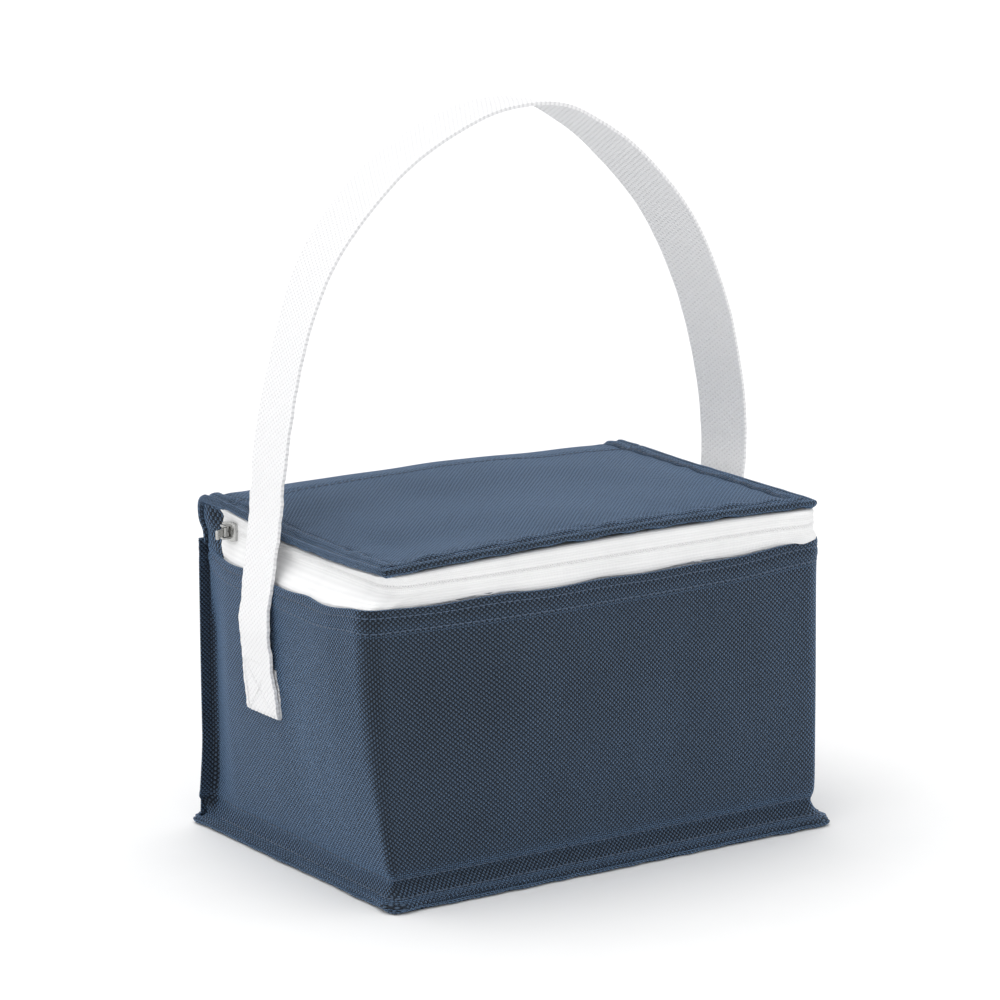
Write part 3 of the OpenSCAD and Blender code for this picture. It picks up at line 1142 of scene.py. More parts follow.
    def build_tabs(self) -> list[bpy.types.Object]:
        """The two cloth tabs between the zip's ends and the back corners."""
        b = self.build
        tabs = []
        for side, name in ((-1.0, "corner_tab_left"), (1.0, "corner_tab_right")):
            low, front, rear = b.hem_z - 9.0, b.zip_end - 3.0, b.half_d - 1.6
            width, height = rear - front, b.hinge_z + b.fold_r - 0.9 - low

            def shape(u: Array, v: Array, side: float = side) -> Array:
                y = front + u
                radius = b.fold_r - 1.4
                reach = np.sqrt(np.clip(radius**2 - np.clip(y - b.hinge_y, 0.0, None) ** 2, 0.0, None))
                roof = b.hinge_z + reach - 0.6
                z = low + v / height * (roof - low)
                swell = np.sin(math.pi * u / width) * 0.9 + ripple(y, z, 12.0, 41) * 0.25
                x = side * (b.half_w - 1.6 + swell * ramp(z, low + 4.0, low + 12.0))
                return self.slump.move(np.stack([x, y, z], axis=1))

            tab = cut_sheet(name + "_cloth", (width, height), 1.2, shape)
            face_towards(tab, (side, 0.0, 0.0))
            thicken(tab, b.cloth, Ply.INSIDE)
            tabs.append(self.wardrobe.fit(tab, self.wardrobe.cloth, Body.BAG, name))
        return tabs

    def sew(self) -> list[bpy.types.Object]:
        """The thread rows round the hem and just above the base seam."""
        hem = self.build.hem_z
        rows = {"hem_thread_upper": (0.12, hem - 3.5), "hem_thread_lower": (0.05, hem - 9.5),
                "base_thread_lower": (1.65, 5.4), "base_thread_upper": (-0.75, 12.0)}
        made = []
        s = np.linspace(0.025, 0.975, 400)
        for name, (out, z) in rows.items():
            line = self.wall_point(s, np.full_like(s, out), np.full_like(s, z))
            row = stitch_row(line, name)
            made.append(self.wardrobe.fit(row, self.wardrobe.navy_thread, Body.BAG))
        return made


def round_corners(x: Array, y: Array, half_x: float, half_y: float, radius: float,
                  back: bool = False) -> tuple[Array, Array]:
    """Rounds the corners of a rectangle of points without changing its straight edges.

    Args:
        x: First coordinate, from -half_x to half_x.
        y: Second coordinate, from -half_y to half_y.
        half_x: Half the rectangle's width.
        half_y: Half the rectangle's depth.
        radius: Corner radius.
        back: Leave the corners with positive y square.

    Returns:
        The moved x and y.
    """
    ax = np.clip((np.abs(x) - half_x + radius) / radius, 0.0, None)
    ay = np.clip((np.abs(y) - half_y + radius) / radius, 0.0, None)
    near = (ax > 0) & (ay > 0)
    if back:
        near = near & (y < 0)
    bx = np.where(near, ax * np.sqrt(1 - np.clip(ay, 0, 1) ** 2 / 2), ax)
    by = np.where(near, ay * np.sqrt(1 - np.clip(ax, 0, 1) ** 2 / 2), ay)
    nx = np.where(near, np.sign(x) * (half_x - radius + bx * radius), x)
    ny = np.where(near, np.sign(y) * (half_y - radius + by * radius), y)
    return nx, ny


# ---------------------------------------------------------------- lid


@dataclass
class Lid:
    """The lid: padded top cloth with a rolled edge, running back over the fold, and its lining pad."""

    build: Build
    slump: Slump
    wardrobe: Wardrobe
    roll: float = 8.0
    roll_radius: float = 1.55
    corner: float = 9.0
    crown: float = 2.6
    seam_back: float = 20.0
    foam_thick: float = 3.0
    tail: float = 9.0

    def _height(self, x: Array, y: Array) -> Array:
        """Height of the lid's top above its plain plane."""
        b = self.build
        ex = np.clip(np.abs(x) / b.half_w, 0, 1)
        ey = np.clip(np.abs(y + 4.0) / b.half_d, 0, 1)
        dome = (1 - ex**5) * (1 - ey**4)
        waves = ripple(x, y, 75.0, 51) * 0.55 + ripple(x, y, 30.0, 52) * 0.15
        inner = ramp(np.minimum(b.half_w - np.abs(x), y + b.half_d), 3.0, 24.0)
        dent = -1.6 * mound(np.hypot((x + 62.0) / 34.0, (y + 38.0) / 16.0), 0.0, 1.0)
        dent = dent - 0.9 * mound(np.hypot((x + 78.0) / 20.0, (y - 8.0) / 26.0), 0.0, 1.0)
        edge = np.minimum(b.half_w - np.abs(x), y + b.half_d)
        band = 1.4 * ramp(edge, 9.6, 7.8) - 1.3 * mound(edge, 3.0, 1.2) - 1.2 * mound(edge, 8.6, 1.0)
        seam = y - (b.half_d - self.seam_back)
        step = -0.55 * ramp(seam, -1.4, 0.0) * ramp(seam, 1.8, 0.2)
        puff = 0.35 * ripple(x, y, 13.0, 57) * ramp(edge, 20.0, 6.0) * ramp(edge, 1.0, 5.0)
        soft = waves * inner * np.clip(dome, 0, 1) ** 0.5 + dent * inner
        return self.crown * dome + soft + step + band + puff

    def build_top(self) -> bpy.types.Object:
        """The lid's cloth, from its rolled front edge back over the fold to the top of the back panel."""
        b = self.build
        over = self.roll - 1.0
        arc = b.fold_r * math.pi / 2
        width = 2 * (b.half_w + over)
        length = b.half_d + over + b.hinge_y + arc + self.tail

        def shape(u: Array, v: Array) -> Array:
            return self.top_point(u - width / 2, v - b.half_d - over)

        top = cut_sheet("lid_cloth", (width, length), 1.15, shape)
        face_towards(top, (0.0, 0.0, 1.0))
        thicken(top, b.cloth, Ply.INSIDE)
        self.wardrobe.dress(top, self.wardrobe.cloth)
        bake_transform(top)
        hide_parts("lid_panel", "hinge_fold")
        return top

    def top_point(self, x: Array, y: Array) -> Array:
        """A place on the lid's cloth from flat coordinates that run on past its edges.

        Args:
            x: Flat coordinate across, past the side edges by the roll.
            y: Flat coordinate front to back, past the front edge and over the fold.

        Returns:
            Places (n, 3) in millimetres, slumped.
        """
        b = self.build
        over = self.roll - 1.0
        wide, deep = b.half_w + over, b.half_d + over
        inside = np.minimum(wide - np.abs(x), y + deep)
        travel = np.clip(self.roll - inside, 0.0, None)
        angle = np.minimum(travel / self.roll_radius, math.radians(205.0))
        rest = np.clip(travel - self.roll_radius * math.radians(205.0), 0.0, None)
        reach = self.roll_radius * np.sin(angle) - rest * 0.9
        drop = self.roll_radius * (1 - np.cos(angle)) - rest * 0.15
        pull = travel - reach
        nx = np.sign(x) * (np.abs(x) - pull * (wide - np.abs(x) <= inside + 1e-9))
        ny = y + pull * (y + deep <= inside + 1e-9)
        corner_x, corner_y = wide - self.corner - over, deep - self.corner - over
        in_corner = (np.abs(x) > corner_x) & (-y > corner_y)
        fx = (np.abs(x) - corner_x) / (self.corner + over)
        fy = (-y - corner_y) / (self.corner + over)
        rx = fx * np.sqrt(np.clip(1 - fy**2 / 2, 0, 1))
        ry = fy * np.sqrt(np.clip(1 - fx**2 / 2, 0, 1))
        big = np.maximum(np.maximum(fx, fy), 1e-6)
        radius = big * (self.corner + over)
        shrink = np.where(travel > 0, (radius - pull) / np.maximum(radius, 1e-6), 1.0)
        cx = np.sign(x) * (corner_x + rx * (self.corner + over) * shrink)
        cy = -(corner_y + ry * (self.corner + over) * shrink)
        nx = np.where(in_corner, cx, nx)
        ny = np.where(in_corner, cy, ny)
        past = np.clip(y - b.hinge_y, 0.0, None)
        turn = np.clip(past / b.fold_r, 0.0, math.pi / 2)
        down = np.clip(past - b.fold_r * math.pi / 2, 0.0, None)
        flat = self._height(nx, np.minimum(ny, b.hinge_y)) * (1 - ramp(turn, 0.1, 1.4))
        lift = b.fold_r + flat - drop
        py = np.where(y > b.hinge_y, b.hinge_y + lift * np.sin(turn), ny)
        pz = np.where(y > b.hinge_y, b.hinge_z + lift * np.cos(turn) - down, b.top + flat - drop)
        fray = 0.35 * ripple(nx, ny, 16.0, 55) * ramp(inside, 9.0, 3.0)
        past_fold = np.stack([nx, py, pz + fray], axis=1)
        return self.slump.move(past_fold)

    def build_foam(self) -> bpy.types.Object:
        """The foam under the lid's cloth, following its hollows."""
        low, high = node_box("lid_foam")
        size = (high[0] - low[0] - 1.0, high[1] - low[1] - 1.0)

        def shape(u: Array, v: Array) -> Array:
            x, y = round_corners(u - size[0] / 2, v - size[1] / 2, size[0] / 2, size[1] / 2, 8.0)
            return self.top_point(x + (low[0] + high[0]) / 2, y + (low[1] + high[1]) / 2)

        foam = cut_sheet("lid_foam_sheet", size, 4.0, shape)
        face_towards(foam, (0.0, 0.0, 1.0))
        points = read_points(foam)
        points[:, 2] -= (self.build.cloth + 0.25) * MM
        write_points(foam, points)
        thicken(foam, self.foam_thick, Ply.INSIDE)
        return self.wardrobe.fit(foam, self.wardrobe.foam, Body.LID, "lid_foam")

    def build_pad(self) -> bpy.types.Object:
        """The lining under the lid: a shallow padded tray of foil, turned up round the foam."""
        b = self.build
        low, high = node_box("lid_lining")
        foam_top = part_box("lid_foam")[1][2] / MM
        wall = foam_top - low[2] - 1.6
        centre = (low + high) / 2
        half_x, half_y = (high[0] - low[0]) / 2 + 0.6, (high[1] - low[1]) / 2 + 0.6
        turn_up = wall + 1.0

        def shape(u: Array, v: Array) -> Array:
            x, y = u - half_x - turn_up, v - half_y - turn_up
            edge = np.minimum(half_x + turn_up - np.abs(x), half_y + turn_up - np.abs(y))
            rise = np.clip(turn_up - edge, 0.0, None)
            x = np.clip(x, -half_x, half_x)
            y = np.clip(y, -half_y, half_y)
            x, y = round_corners(x, y, half_x, half_y, 8.0)
            inner = ramp(edge, turn_up, turn_up + 14.0)
            sag = (1.3 + 0.5 * ripple(x, y, 26.0, 61) + 0.25 * ripple(x, y, 11.0, 62)) * inner
            z = low[2] + 0.2 - sag + np.minimum(rise, wall)
            return self.slump.move(np.stack([x + centre[0], y + centre[1], z], axis=1), on_lid=True)

        size = (2 * (half_x + turn_up), 2 * (half_y + turn_up))
        pad = cut_sheet("lid_lining_foil", size, 2.4, shape)
        face_towards(pad, (0.0, 0.0, -1.0))
        thicken(pad, b.foil, Ply.INSIDE)
        return self.wardrobe.fit(pad, self.wardrobe.foil, Body.LID, "lid_lining")

    def sew(self) -> list[bpy.types.Object]:
        """The thread rows round the lid's edge and along its rear seam."""
        b = self.build
        made = []
        for name, inset in (("lid_thread_outer", 3.0), ("lid_thread_inner", 8.1)):
            x0, y0, y1 = b.half_w - inset, -b.half_d + inset, b.hinge_y - 2.0
            plan = RoundedPath([(-x0, y1), (-x0, y0), (x0, y0), (x0, y1)], [8.0, 8.0])
            s = np.linspace(0.0, plan.length, 500)
            x, y = plan.at(s, np.zeros_like(s))
            made.append(self._row(name, x, y))
        x = np.linspace(-b.half_w + 2.0, b.half_w - 2.0, 160)
        made.append(self._row("lid_thread_seam", x, np.full_like(x, b.half_d - self.seam_back - 2.4)))
        return made

    def _row(self, name: str, x: Array, y: Array) -> bpy.types.Object:
        """One row of stitches over the lid's cloth, through plan points."""
        line = self.top_point(x, y)
        line[:, 2] += 0.15
        row = stitch_row(line, name)
        self.wardrobe.dress(row, self.wardrobe.navy_thread)
        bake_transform(row)
        return row


# ---------------------------------------------------------------- zip


@dataclass
class Zip:
    """The zip: two white tapes, two rows of coil, the slider and its pull tab."""

    build: Build
    slump: Slump
    wardrobe: Wardrobe
    corner: float = 9.2
    tooth: float = 1.15
    tape_thick: float = 0.5
    pull_angle: float = 212.0

    def _plan(self) -> RoundedPath:
        """Plan of the tapes' outer face."""
        b = self.build
        x0, y0 = b.half_w - 1.3, -b.half_d + 1.3
        points = [(-x0, b.zip_end), (-x0, y0), (x0, y0), (x0, b.zip_end)]
        return RoundedPath(points, [self.corner, self.corner])

    def _belly(self, u: Array) -> Array:
        """How far the shut zip swells outwards at its two front corners."""
        reach = self.build.zip_end + self.build.half_d
        return 0.5 * mound(u, reach + 4.0, 9.0) + 2.8 * mound(u, self._plan().length - reach, 12.0)

    def _band(self, name: str, section: Sequence[tuple[float, float]], body: Body, node: str,
              seed: int) -> bpy.types.Object:
        """One tape from its section (out, z), bottom to top."""
        plan = self._plan()
        line = smooth_line(section, 240)
        run = np.concatenate([[0.0], np.cumsum(np.linalg.norm(np.diff(line, axis=0), axis=1))])
        reach = self.build.zip_end + self.build.half_d
        corners = [reach, plan.length - self.build.zip_end - self.build.half_d]

        def shape(u: Array, v: Array) -> Array:
            out = np.interp(v, run, line[:, 0])
            z = np.interp(v, run, line[:, 1])
            share = v / run[-1]
            crimp = sum(mound(u, corner, 13.0) for corner in corners)
            pucker = ripple(u, v * 0.0, 6.0, seed) * crimp * 0.35 + ripple(u, v * 0.3, 34.0, seed + 1) * 0.25
            toward_slit = share if seed < 80 else 1 - share
            belly = self._belly(u) * ramp(toward_slit, 0.1, 0.55)
            x, y = plan.at(u, out + belly + pucker * np.sin(math.pi * share))
            return self.slump.move(np.stack([x, y, z], axis=1))

        tape = cut_sheet(name, (plan.length, float(run[-1])), 0.8, shape)
        thicken(tape, self.tape_thick, Ply.INSIDE)
        return self.wardrobe.fit(tape, self.wardrobe.tape, body, node)

    def build_tapes(self) -> list[bpy.types.Object]:
        """The lower tape behind the hem and the upper tape under the lid's edge."""
        b = self.build
        m = b.zip_z
        lower = [(-0.9, b.hem_z - 7.5), (-0.8, b.hem_z - 2.0), (0.1, b.hem_z + 0.8), (0.7, b.hem_z + 2.2),
                 (0.75, m - 3.8), (0.4, m - 3.2), (0.75, m - 2.6), (0.9, m - 1.4), (0.75, m - 0.7),
                 (0.45, m - 0.14)]
        upper = [(0.45, m + 0.14), (0.75, m + 0.7), (0.9, m + 1.4), (0.75, m + 2.5), (0.4, m + 3.0),
                 (0.7, m + 3.6), (0.7, b.rim_z - 1.4), (0.2, b.rim_z - 0.5), (-1.2, b.rim_z - 0.1),
                 (-5.0, b.rim_z - 0.3)]
        return [self._band("zip_tape_lower_weave", lower, Body.BAG, "zip_tape_lower", 71),
                self._band("zip_tape_upper_weave", upper, Body.LID, "zip_tape_upper", 81)]

    def build_coils(self) -> list[bpy.types.Object]:
        """The two rows of nylon loops along the slit between the tapes."""
        made = []
        plan = self._plan()
        s = np.linspace(1.0, plan.length - 1.0, 700)
        for name, node, body, side in (("zip_coil_lower_loops", "zip_coil_lower", Body.BAG, -1.0),
                                       ("zip_coil_upper_loops", "zip_coil_upper", Body.LID, 1.0)):
            x, y = plan.at(s, 0.68 + self._belly(s))
            z = np.full_like(s, self.build.zip_z + side * 0.26)
            line = self.slump.move(np.stack([x, y, z], axis=1))
            loops = repeat_along(self._loop(0.0 if side < 0 else self.tooth / 2), line, self.tooth, name)
            made.append(self.wardrobe.fit(loops, self.wardrobe.nylon, body, node))
        return made

    def _loop(self, offset: float) -> bpy.types.Object:
        """One bead of the coil, drawn along +X from an offset."""
        deselect_all()
        bpy.ops.mesh.primitive_uv_sphere_add(segments=6, ring_count=4, radius=0.5 * MM,
                                             location=((offset + self.tooth * 0.3) * MM, 0.0, 0.0))
        bead = bpy.context.object
        bead.scale = (0.95, 0.9, 0.9)
        settle(bead)
        return bead

    def build_slider(self) -> bpy.types.Object:
        """The cast slider: a shouldered outer plate, a wedge, an inner plate, two lugs and the pin."""
        low, high = node_box("zip_slider")
        centre = (low + high) / 2
        face = self._face_x()
        long, tall = high[1] - low[1], high[2] - low[2]
        outer = self._plate((face + 0.95, centre[1], centre[2]), 1.7, long, tall, 0.42)
        inner = self._plate((high[0] - 0.5, centre[1], centre[2]), 1.0, long, tall, 0.3)
        wedge = self._bar((face + 1.7 + (high[0] - face - 1.7) / 2, low[1] + 1.8, centre[2]),
                          (high[0] - face - 1.0, 3.2, 0.5), 0.1)
        crown = [self._lug(face, centre, side) for side in (-1.0, 1.0)]
        pin_x = self.build.pull_axis[0]
        deselect_all()
        bpy.ops.mesh.primitive_cylinder_add(vertices=20, radius=0.6 * MM, depth=6.4 * MM,
                                            location=(pin_x * MM, centre[1] * MM, centre[2] * MM))
        pin = bpy.context.object
        settle(pin)
        slider = join([outer, inner, wedge, *crown, pin], "zip_slider_cast")
        shade(slider, 35.0)
        return self.wardrobe.fit(slider, self.wardrobe.nickel, Body.SLIDER, "zip_slider")

    def _face_x(self) -> float:
        """X of the slider's outer face: the pin stands 1.5 mm off it."""
        return self.build.pull_axis[0] + 1.5

    def _bar(self, centre: Sequence[float], size: Sequence[float], edge: float) -> bpy.types.Object:
        """A small block with rounded edges."""
        deselect_all()
        bpy.ops.mesh.primitive_cube_add(size=1.0, location=[c * MM for c in centre])
        bar = bpy.context.object
        bar.scale = [s * MM for s in size]
        settle(bar)
        use_modifier(bar, "BEVEL", width=edge * MM, segments=3, limit_method="ANGLE")
        return bar

    def _plate(self, centre: Sequence[float], thick: float, long: float, high: float,
               edge: float) -> bpy.types.Object:
        """A slider plate: wide at the shoulders, narrow at the tail, with a raised middle and side rails.

        Args:
            centre: Its middle.
            thick: Thickness along X.
            long: Length along Y; the shoulders are at the front.
            high: Height along Z at the shoulders.
            edge: Edge rounding.

        Returns:
            The plate.
        """
        plate = self._bar(centre, (thick, long, high), edge)
        use_modifier(plate, "SUBSURF", subdivision_type="SIMPLE", levels=2, render_levels=2)
        points = read_points(plate) / MM
        along = (points[:, 1] - centre[1]) / long
        waist = 1.0 - 0.26 * ramp(along, -0.1, 0.5) - 0.16 * ramp(along, -0.28, -0.5)
        points[:, 2] = centre[2] + (points[:, 2] - centre[2]) * waist
        up = (points[:, 2] - centre[2]) / high
        ridge = 0.2 * mound(up, 0.0, 0.18) * mound(along, 0.0, 0.45)
        outer = points[:, 0] < centre[0] - thick * 0.3
        points[:, 0] -= np.where(outer, ridge, 0.0)
        write_points(plate, points * MM)
        return plate

    def _lug(self, face: float, centre: Array, side: float) -> bpy.types.Object:
        """One of the two ears that hold the pin."""
        pin_x = self.build.pull_axis[0]
        lug = self._bar(((pin_x + face) / 2 - 0.15, centre[1], centre[2] + side * 2.6),
                        (2.9 + face - pin_x - 0.2, 2.6, 1.0), 0.38)
        points = read_points(lug) / MM
        reach = ramp(face - points[:, 0], 0.0, 2.6)
        points[:, 1] = centre[1] + (points[:, 1] - centre[1]) * (1.35 - 0.45 * reach)
        write_points(lug, points * MM)
        return lug

    def build_pull(self) -> bpy.types.Object:
        """The pull tab: a round hub on the pin and a flat tongue with a raised rim."""
        pin = self.build.pull_axis
        low, high = node_box("pull_tab")
        reach = float(np.hypot(pin[0] - low[0], high[1] - pin[1])) - 0.4
        deselect_all()
        bpy.ops.mesh.primitive_cylinder_add(vertices=24, radius=1.2 * MM, depth=3.9 * MM)
        hub = bpy.context.object
        deselect_all()
        bpy.ops.mesh.primitive_cylinder_add(vertices=24, radius=0.72 * MM, depth=8.0 * MM)
        drill = bpy.context.object
        use_modifier(hub, "BOOLEAN", operation="DIFFERENCE", object=drill)
        bpy.data.objects.remove(drill)
        use_modifier(hub, "BEVEL", width=0.18 * MM, segments=2, limit_method="ANGLE")
        tongue = self._bar((reach / 2 + 0.55, 0.0, 0.0), (reach - 1.1, 1.15, 3.9), 0.4)
        use_modifier(tongue, "SUBSURF", subdivision_type="SIMPLE", levels=2, render_levels=2)
        points = read_points(tongue) / MM
        share = points[:, 0] / reach
        points[:, 2] *= 1.0 - 0.22 * mound(share, 0.45, 0.22)
        hollow = mound(share, 0.62, 0.2) * mound(points[:, 2], 0.0, 1.1) * 0.28
        points[:, 1] -= np.sign(points[:, 1]) * hollow
        write_points(tongue, points * MM)
        tab = join([hub, tongue], "pull_tab_cast")
        deselect_all()
        tab.select_set(True)
        bpy.context.view_layer.objects.active = tab
        tab.rotation_euler = (0.0, 0.0, math.radians(self.pull_angle))
        tab.location = pin * MM
        settle(tab)
        shade(tab, 40.0)
        return self.wardrobe.fit(tab, self.wardrobe.nickel, Body.PULL, "pull_tab")


# ---------------------------------------------------------------- lining


@dataclass
class Lining:
    """The silver lining inside the bag."""

    build: Build
    shell: Shell
    wardrobe: Wardrobe
    inset: float = 4.9

    def build_walls(self) -> bpy.types.Object:
        """The lining round left side, front and right side, leaning out to the zip tape at its top."""
        b = self.build
        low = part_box("wall_lining")[0][2] / MM + 0.3
        top = b.hem_z + 1.2

        def wave(u: Array, v: Array) -> Array:
            lean = 3.4 * ramp(v + low, b.hem_z - 9.0, b.hem_z)
            puff = 0.7 + ripple(u, v, 40.0, 91) * 0.45 + ripple(u, v, 14.0, 92) * 0.2
            return puff * ramp(v, 0.0, 12.0) * ramp(top - low - v, 0.0, 12.0) - lean

        return self.shell.build_layer("wall_lining_foil", "wall_lining", self.inset, b.foil, (low, top),
                                      self.wardrobe.foil, wave, 0.2)

    def build_back(self) -> bpy.types.Object:
        """The lining of the back panel."""
        b = self.build
        low, high = node_box("back_lining")
        width, height = high[0] - low[0] + 1.6, b.hem_z + 5.0 - low[2]

        def shape(u: Array, v: Array) -> Array:
            x, z = u - width / 2, low[2] + 0.3 + v
            wave = 0.8 + ripple(x, z, 38.0, 93) * 0.5 + ripple(x, z, 14.0, 94) * 0.2
            y = low[1] - wave * ramp(v, 0.0, 12.0) * ramp(width / 2 - np.abs(x), 0.0, 10.0)
            y = y + 2.6 * ramp(z, b.hem_z - 6.0, b.hem_z + 5.0)
            return np.stack([x, y, z], axis=1)

        back = cut_sheet("back_lining_foil", (width, height), 2.6, shape)
        face_towards(back, (0.0, -1.0, 0.0))
        thicken(back, b.foil, Ply.INSIDE)
        return self.wardrobe.fit(back, self.wardrobe.foil, Body.BAG, "back_lining")

    def build_base(self) -> bpy.types.Object:
        """The lining of the base."""
        low, high = node_box("base_lining")
        half_x, half_y = (high[0] - low[0]) / 2 - 4.6, (high[1] - low[1]) / 2 - 4.6

        def shape(u: Array, v: Array) -> Array:
            x, y = u - half_x, v - half_y
            edge = np.minimum(half_x - np.abs(x), half_y - np.abs(y))
            wave = 0.5 + 0.4 * ripple(x, y, 34.0, 95) + 0.2 * ripple(x, y, 12.0, 96)
            return np.stack([x, y, high[2] + wave * ramp(edge, 0, 10)], axis=1)

        base = cut_sheet("base_lining_foil", (2 * half_x, 2 * half_y), 2.8, shape)
        face_towards(base, (0.0, 0.0, 1.0))
        thicken(base, self.build.foil, Ply.INSIDE)
        return self.wardrobe.fit(base, self.wardrobe.foil, Body.BAG, "base_lining")


# ---------------------------------------------------------------- strap


@dataclass
class Strap:
    """The carrying strap: one length of webbing, folded under and sewn to both sides."""

    build: Build
    shell: Shell
    wardrobe: Wardrobe
    edge_wave: float = 0.5
    askew: float = 3.2
    left: Sequence[tuple[float, float]] = (
        (-113.0, 97.0), (-111.6, 111.0), (-107.4, 140.0), (-105.0, 164.0), (-100.0, 191.0),
        (-90.8, 222.5), (-79.3, 245.6), (-59.2, 267.8), (-39.2, 282.2), (-13.2, 293.8),
    )
    right: Sequence[tuple[float, float]] = (
        (6.0, 297.4), (24.5, 296.4), (40.0, 289.6), (62.0, 274.2), (88.5, 245.6), (106.8, 210.0),
        (116.5, 175.0), (119.6, 149.0), (118.6, 128.0), (113.8, 108.0),
    )
    twist: Sequence[tuple[float, float]] = ((0.0, 0.0), (0.17, -3.0), (0.28, -3.0), (0.38, 5.0), (0.5, 9.0),
                                            (0.6, 21.0), (0.74, 20.0), (0.83, 8.0), (0.9, 0.0), (1.0, 0.0))

    def _side_x(self, side: float, z: Array) -> Array:
        """X of the wall's outer face at the strap, at given heights."""
        share = self._share(side)
        z = np.asarray(z, float)
        return self.shell.wall_point(np.full_like(z, share), np.zeros_like(z), z)[:, 0]

    def _share(self, side: float) -> float:
        """The strap's place along the wall's plan, as a share."""
        plan = self.shell._top_plan
        along = plan.line[:, 1] - self.build.strap_y
        half = plan.line[:, 0] * side > 0
        on_side = half & (np.abs(plan.line[:, 0]) < self.build.half_w + 0.3)
        crossing = np.argmin(np.where(on_side, np.abs(along), 1e9))
        return float(plan.run[crossing] / plan.length)

    def _lean(self, z: Array) -> Array:
        """How far forward a sewn end stands at given heights, as it was sewn on askew."""
        b = self.build
        return -self.askew * ramp(np.asarray(z, float), b.strap_z - 1.0, b.strap_low + 4.0)

    def _sewn(self, side: float) -> Array:
        """Centre line of a sewn end, from the tip of its inner ply, round the fold and up to the kink."""
        b = self.build
        gap = b.web / 2 + 0.25
        up = np.linspace(b.strap_z - 6.0, b.strap_low + 4.8, 8)
        down = np.linspace(b.strap_low + 4.8, b.strap_z - 1.0, 10)
        inner = np.stack([self._side_x(side, up) + side * gap, np.full(8, b.strap_y), up], axis=1)
        outer_x = self._side_x(side, down) + side * (gap + b.web + 0.15)
        outer = np.stack([outer_x, np.full(10, b.strap_y), down], axis=1)
        turn = np.array([[self._side_x(side, np.array([b.strap_low + 3.5]))[0] + side * (gap + 0.8),
                          b.strap_y, b.strap_low + 3.4]])
        ends = np.vstack([inner, turn, outer])
        ends[:, 1] += self._lean(ends[:, 2])
        return ends

    def build_webbing(self) -> bpy.types.Object:
        """The whole strap from one folded end to the other."""
        b = self.build
        left = self._sewn(-1.0)
        right = self._sewn(1.0)[::-1]
        arch = np.array([(x, b.strap_y, z) for x, z in (*self.left, *self.right)])
        line = smooth_line(np.vstack([left, arch, right]), 900)
        run = np.concatenate([[0.0], np.cumsum(np.linalg.norm(np.diff(line, axis=0), axis=1))])
        length = float(run[-1])
        shares = [t for t, _ in self.twist]
        angles = [math.radians(a) for _, a in self.twist]

        def shape(u: Array, v: Array) -> Array:
            centre = np.stack([np.interp(u, run, line[:, k]) for k in range(3)], axis=1)
            angle = np.interp(u / length, shares, angles)
            angle = angle + math.radians(2.0) * ripple(u, u * 0.0, 90.0, 101)
            across = np.stack([-np.sin(angle), np.cos(angle), np.zeros_like(angle)], axis=1)
            wide = v - b.strap_w / 2
            worn = 0.12 + 0.88 * ramp(u, 190.0, 110.0)
            selvedge = ripple(u, wide * 0.02, 6.0, 102) * ramp(np.abs(wide), 8.0, 12.5)
            sewn = ramp(centre[:, 2], b.strap_z + 2.0, b.strap_z - 4.0)
            selvedge = self.edge_wave * worn * selvedge - 0.9 * sewn * (np.abs(wide) / 12.5)
            cup = 0.35 * (wide / 12.5) ** 2
            lift = np.stack([np.sign(centre[:, 0]) * cup * ramp(b.strap_z + 60 - centre[:, 2], 0, 40),
                             np.zeros_like(cup), np.zeros_like(cup)], axis=1)
            return centre + across * (wide + np.sign(wide) * selvedge)[:, None] + lift * 0.4

        strap = cut_sheet("strap_webbing", (length, b.strap_w), 1.5, shape)
        thicken(strap, b.web, Ply.MIDDLE)
        use_modifier(strap, "BEVEL", width=0.3 * MM, segments=2, limit_method="ANGLE",
                     angle_limit=math.radians(60.0))
        shade(strap, 70.0)
        self.wardrobe.dress(strap, self.wardrobe.webbing)
        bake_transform(strap)
        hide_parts("handle_strap", "strap_end_left", "strap_end_right")
        return strap

    def sew(self) -> list[bpy.types.Object]:
        """The box of stitches that holds each end to its side."""
        b = self.build
        made = []
        for side, name in ((-1.0, "strap_thread_left"), (1.0, "strap_thread_right")):
            y0, y1 = b.strap_y - 9.6, b.strap_y + 9.6
            z0, z1 = b.strap_low + 4.0, b.strap_z - 4.5
            ring = [(y0, z0), (y1, z0), (y1, z1), (y0, z1), (y0, z0), (y1, z1), (y1, z0), (y0, z1)]
            flat = even_steps(np.array(ring, float), 160)
            z = flat[:, 1]
            x = self._side_x(side, z) + side * (b.web * 2 + 0.62)
            line = np.stack([x, flat[:, 0] + self._lean(z), z], axis=1)
            row = stitch_row(line, name, length=2.1, radius=0.2, pitch=2.6)
            made.append(self.wardrobe.fit(row, self.wardrobe.pale_thread, Body.BAG))
        return made


# ---------------------------------------------------------------- studio


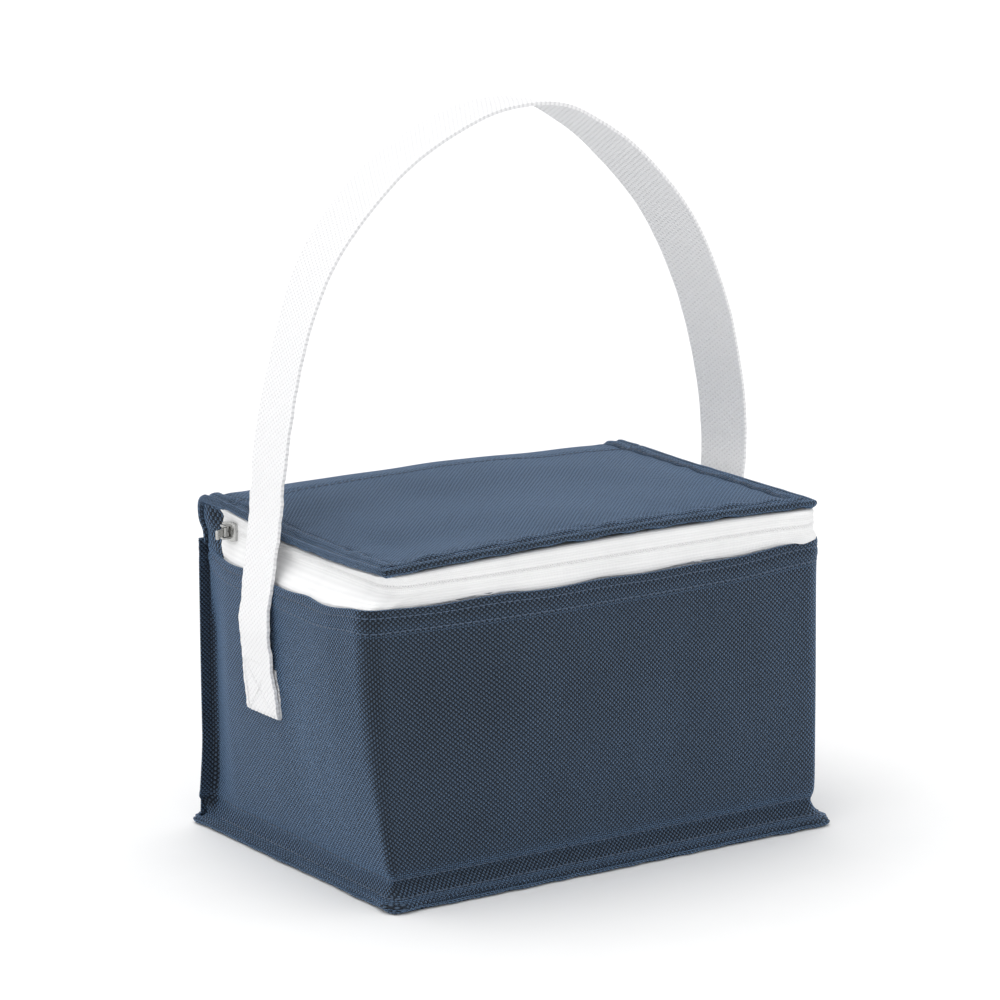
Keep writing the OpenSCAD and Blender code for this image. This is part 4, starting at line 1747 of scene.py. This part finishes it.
@dataclass
class Studio:
    """Plain pale floor, soft lights and the camera."""

    azimuth: float = -34.23
    elevation: float = 13.0
    distance: float = 1.912
    lens: float = 169.3
    target_z: float = 0.13715
    target_side: float = -0.00466

    def build(self) -> None:
        """Sets up the floor, the lights, the world and the camera."""
        self._floor()
        self._world()
        self._sun("overhead", (-0.15, 0.22, 1.0), 1.25, 60.0)
        self._sun("window", (-1.0, -0.45, 0.25), 0.32, 60.0)
        self._camera()

    def _floor(self) -> None:
        """A wide pale floor that curves up far behind."""
        deselect_all()
        bpy.ops.mesh.primitive_grid_add(x_subdivisions=60, y_subdivisions=60, size=14.0)
        floor = bpy.context.object
        floor.name = "studio_floor"
        points = read_points(floor)
        away = np.hypot(points[:, 0], points[:, 1])
        points[:, 2] = 1.5 * ramp(away, 3.2, 7.0) ** 2
        write_points(floor, points)
        shade(floor, 80.0)
        g = Graph("studio_paper")
        speck = g.noise(40.0, 3.0)
        paper = g.surface(Base_Color=g.mix(speck, (0.87, 0.87, 0.87), (0.89, 0.89, 0.89)), Roughness=0.9)
        floor.data.materials.append(paper)

    def _world(self) -> None:
        """Even white light all round."""
        world = bpy.data.worlds.new("studio_world")
        world.use_nodes = True
        back = world.node_tree.nodes["Background"]
        back.inputs["Color"].default_value = (1.0, 1.0, 1.0, 1.0)
        back.inputs["Strength"].default_value = 0.88
        bpy.context.scene.world = world
        bpy.context.scene.view_settings.view_transform = "Standard"

    def _sun(self, name: str, towards: Sequence[float], strength: float, spread: float) -> None:
        """One broad soft light from a direction."""
        deselect_all()
        bpy.ops.object.light_add(type="SUN", location=(0.0, 0.0, 2.0))
        lamp = bpy.context.object
        lamp.name = "studio_" + name
        lamp.data.energy = strength
        lamp.data.angle = math.radians(spread)
        lamp.rotation_euler = Vector(towards).to_track_quat("Z", "Y").to_euler()

    def _camera(self) -> None:
        """A long lens from the front left, a little above the lid."""
        a, e = math.radians(self.azimuth), math.radians(self.elevation)
        right = Vector((math.cos(a), math.sin(a), 0.0))
        target = Vector((0.0, 0.0, self.target_z)) + right * self.target_side
        back = Vector((math.sin(a) * math.cos(e), -math.cos(a) * math.cos(e), math.sin(e)))
        deselect_all()
        bpy.ops.object.camera_add(location=target + back * self.distance)
        camera = bpy.context.object
        camera.name = "studio_camera"
        camera.data.lens = self.lens
        camera.data.sensor_width = 36.0
        camera.data.clip_end = 50.0
        camera.rotation_euler = (target - camera.location).to_track_quat("-Z", "Y").to_euler()
        bpy.context.scene.camera = camera


# ---------------------------------------------------------------- making


def report(piece: bpy.types.Object) -> None:
    """Logs a finished piece and its size."""
    size = piece.dimensions / MM
    log.info("%-24s %7d faces  %.1f x %.1f x %.1f mm", piece.name, len(piece.data.polygons), *size)


def main() -> None:
    """Builds the studio, then each sub-assembly in order, and notes the sizes."""
    logging.basicConfig(level=logging.INFO, format="%(message)s")
    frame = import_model()
    Studio().build()
    wardrobe = Wardrobe()
    build = Build.from_frame(frame)
    slump = Slump(build)
    shell = Shell(build, slump, wardrobe)
    pieces = [shell.build_wall(), shell.build_foam(), shell.build_back_foam(), shell.build_base_foam(),
              shell.build_back(), shell.build_base(), shell.build_seam_roll(), *shell.build_tabs(),
              *shell.sew()]
    lid = Lid(build, slump, wardrobe)
    pieces += [lid.build_top(), lid.build_foam(), lid.build_pad(), *lid.sew()]
    fastener = Zip(build, slump, wardrobe)
    pieces += [*fastener.build_tapes(), *fastener.build_coils(), fastener.build_slider(),
               fastener.build_pull()]
    lining = Lining(build, shell, wardrobe)
    pieces += [lining.build_walls(), lining.build_back(), lining.build_base()]
    strap = Strap(build, shell, wardrobe)
    pieces += [strap.build_webbing(), *strap.sew()]
    for piece in pieces:
        report(piece)


if __name__ == "__main__":
    main()
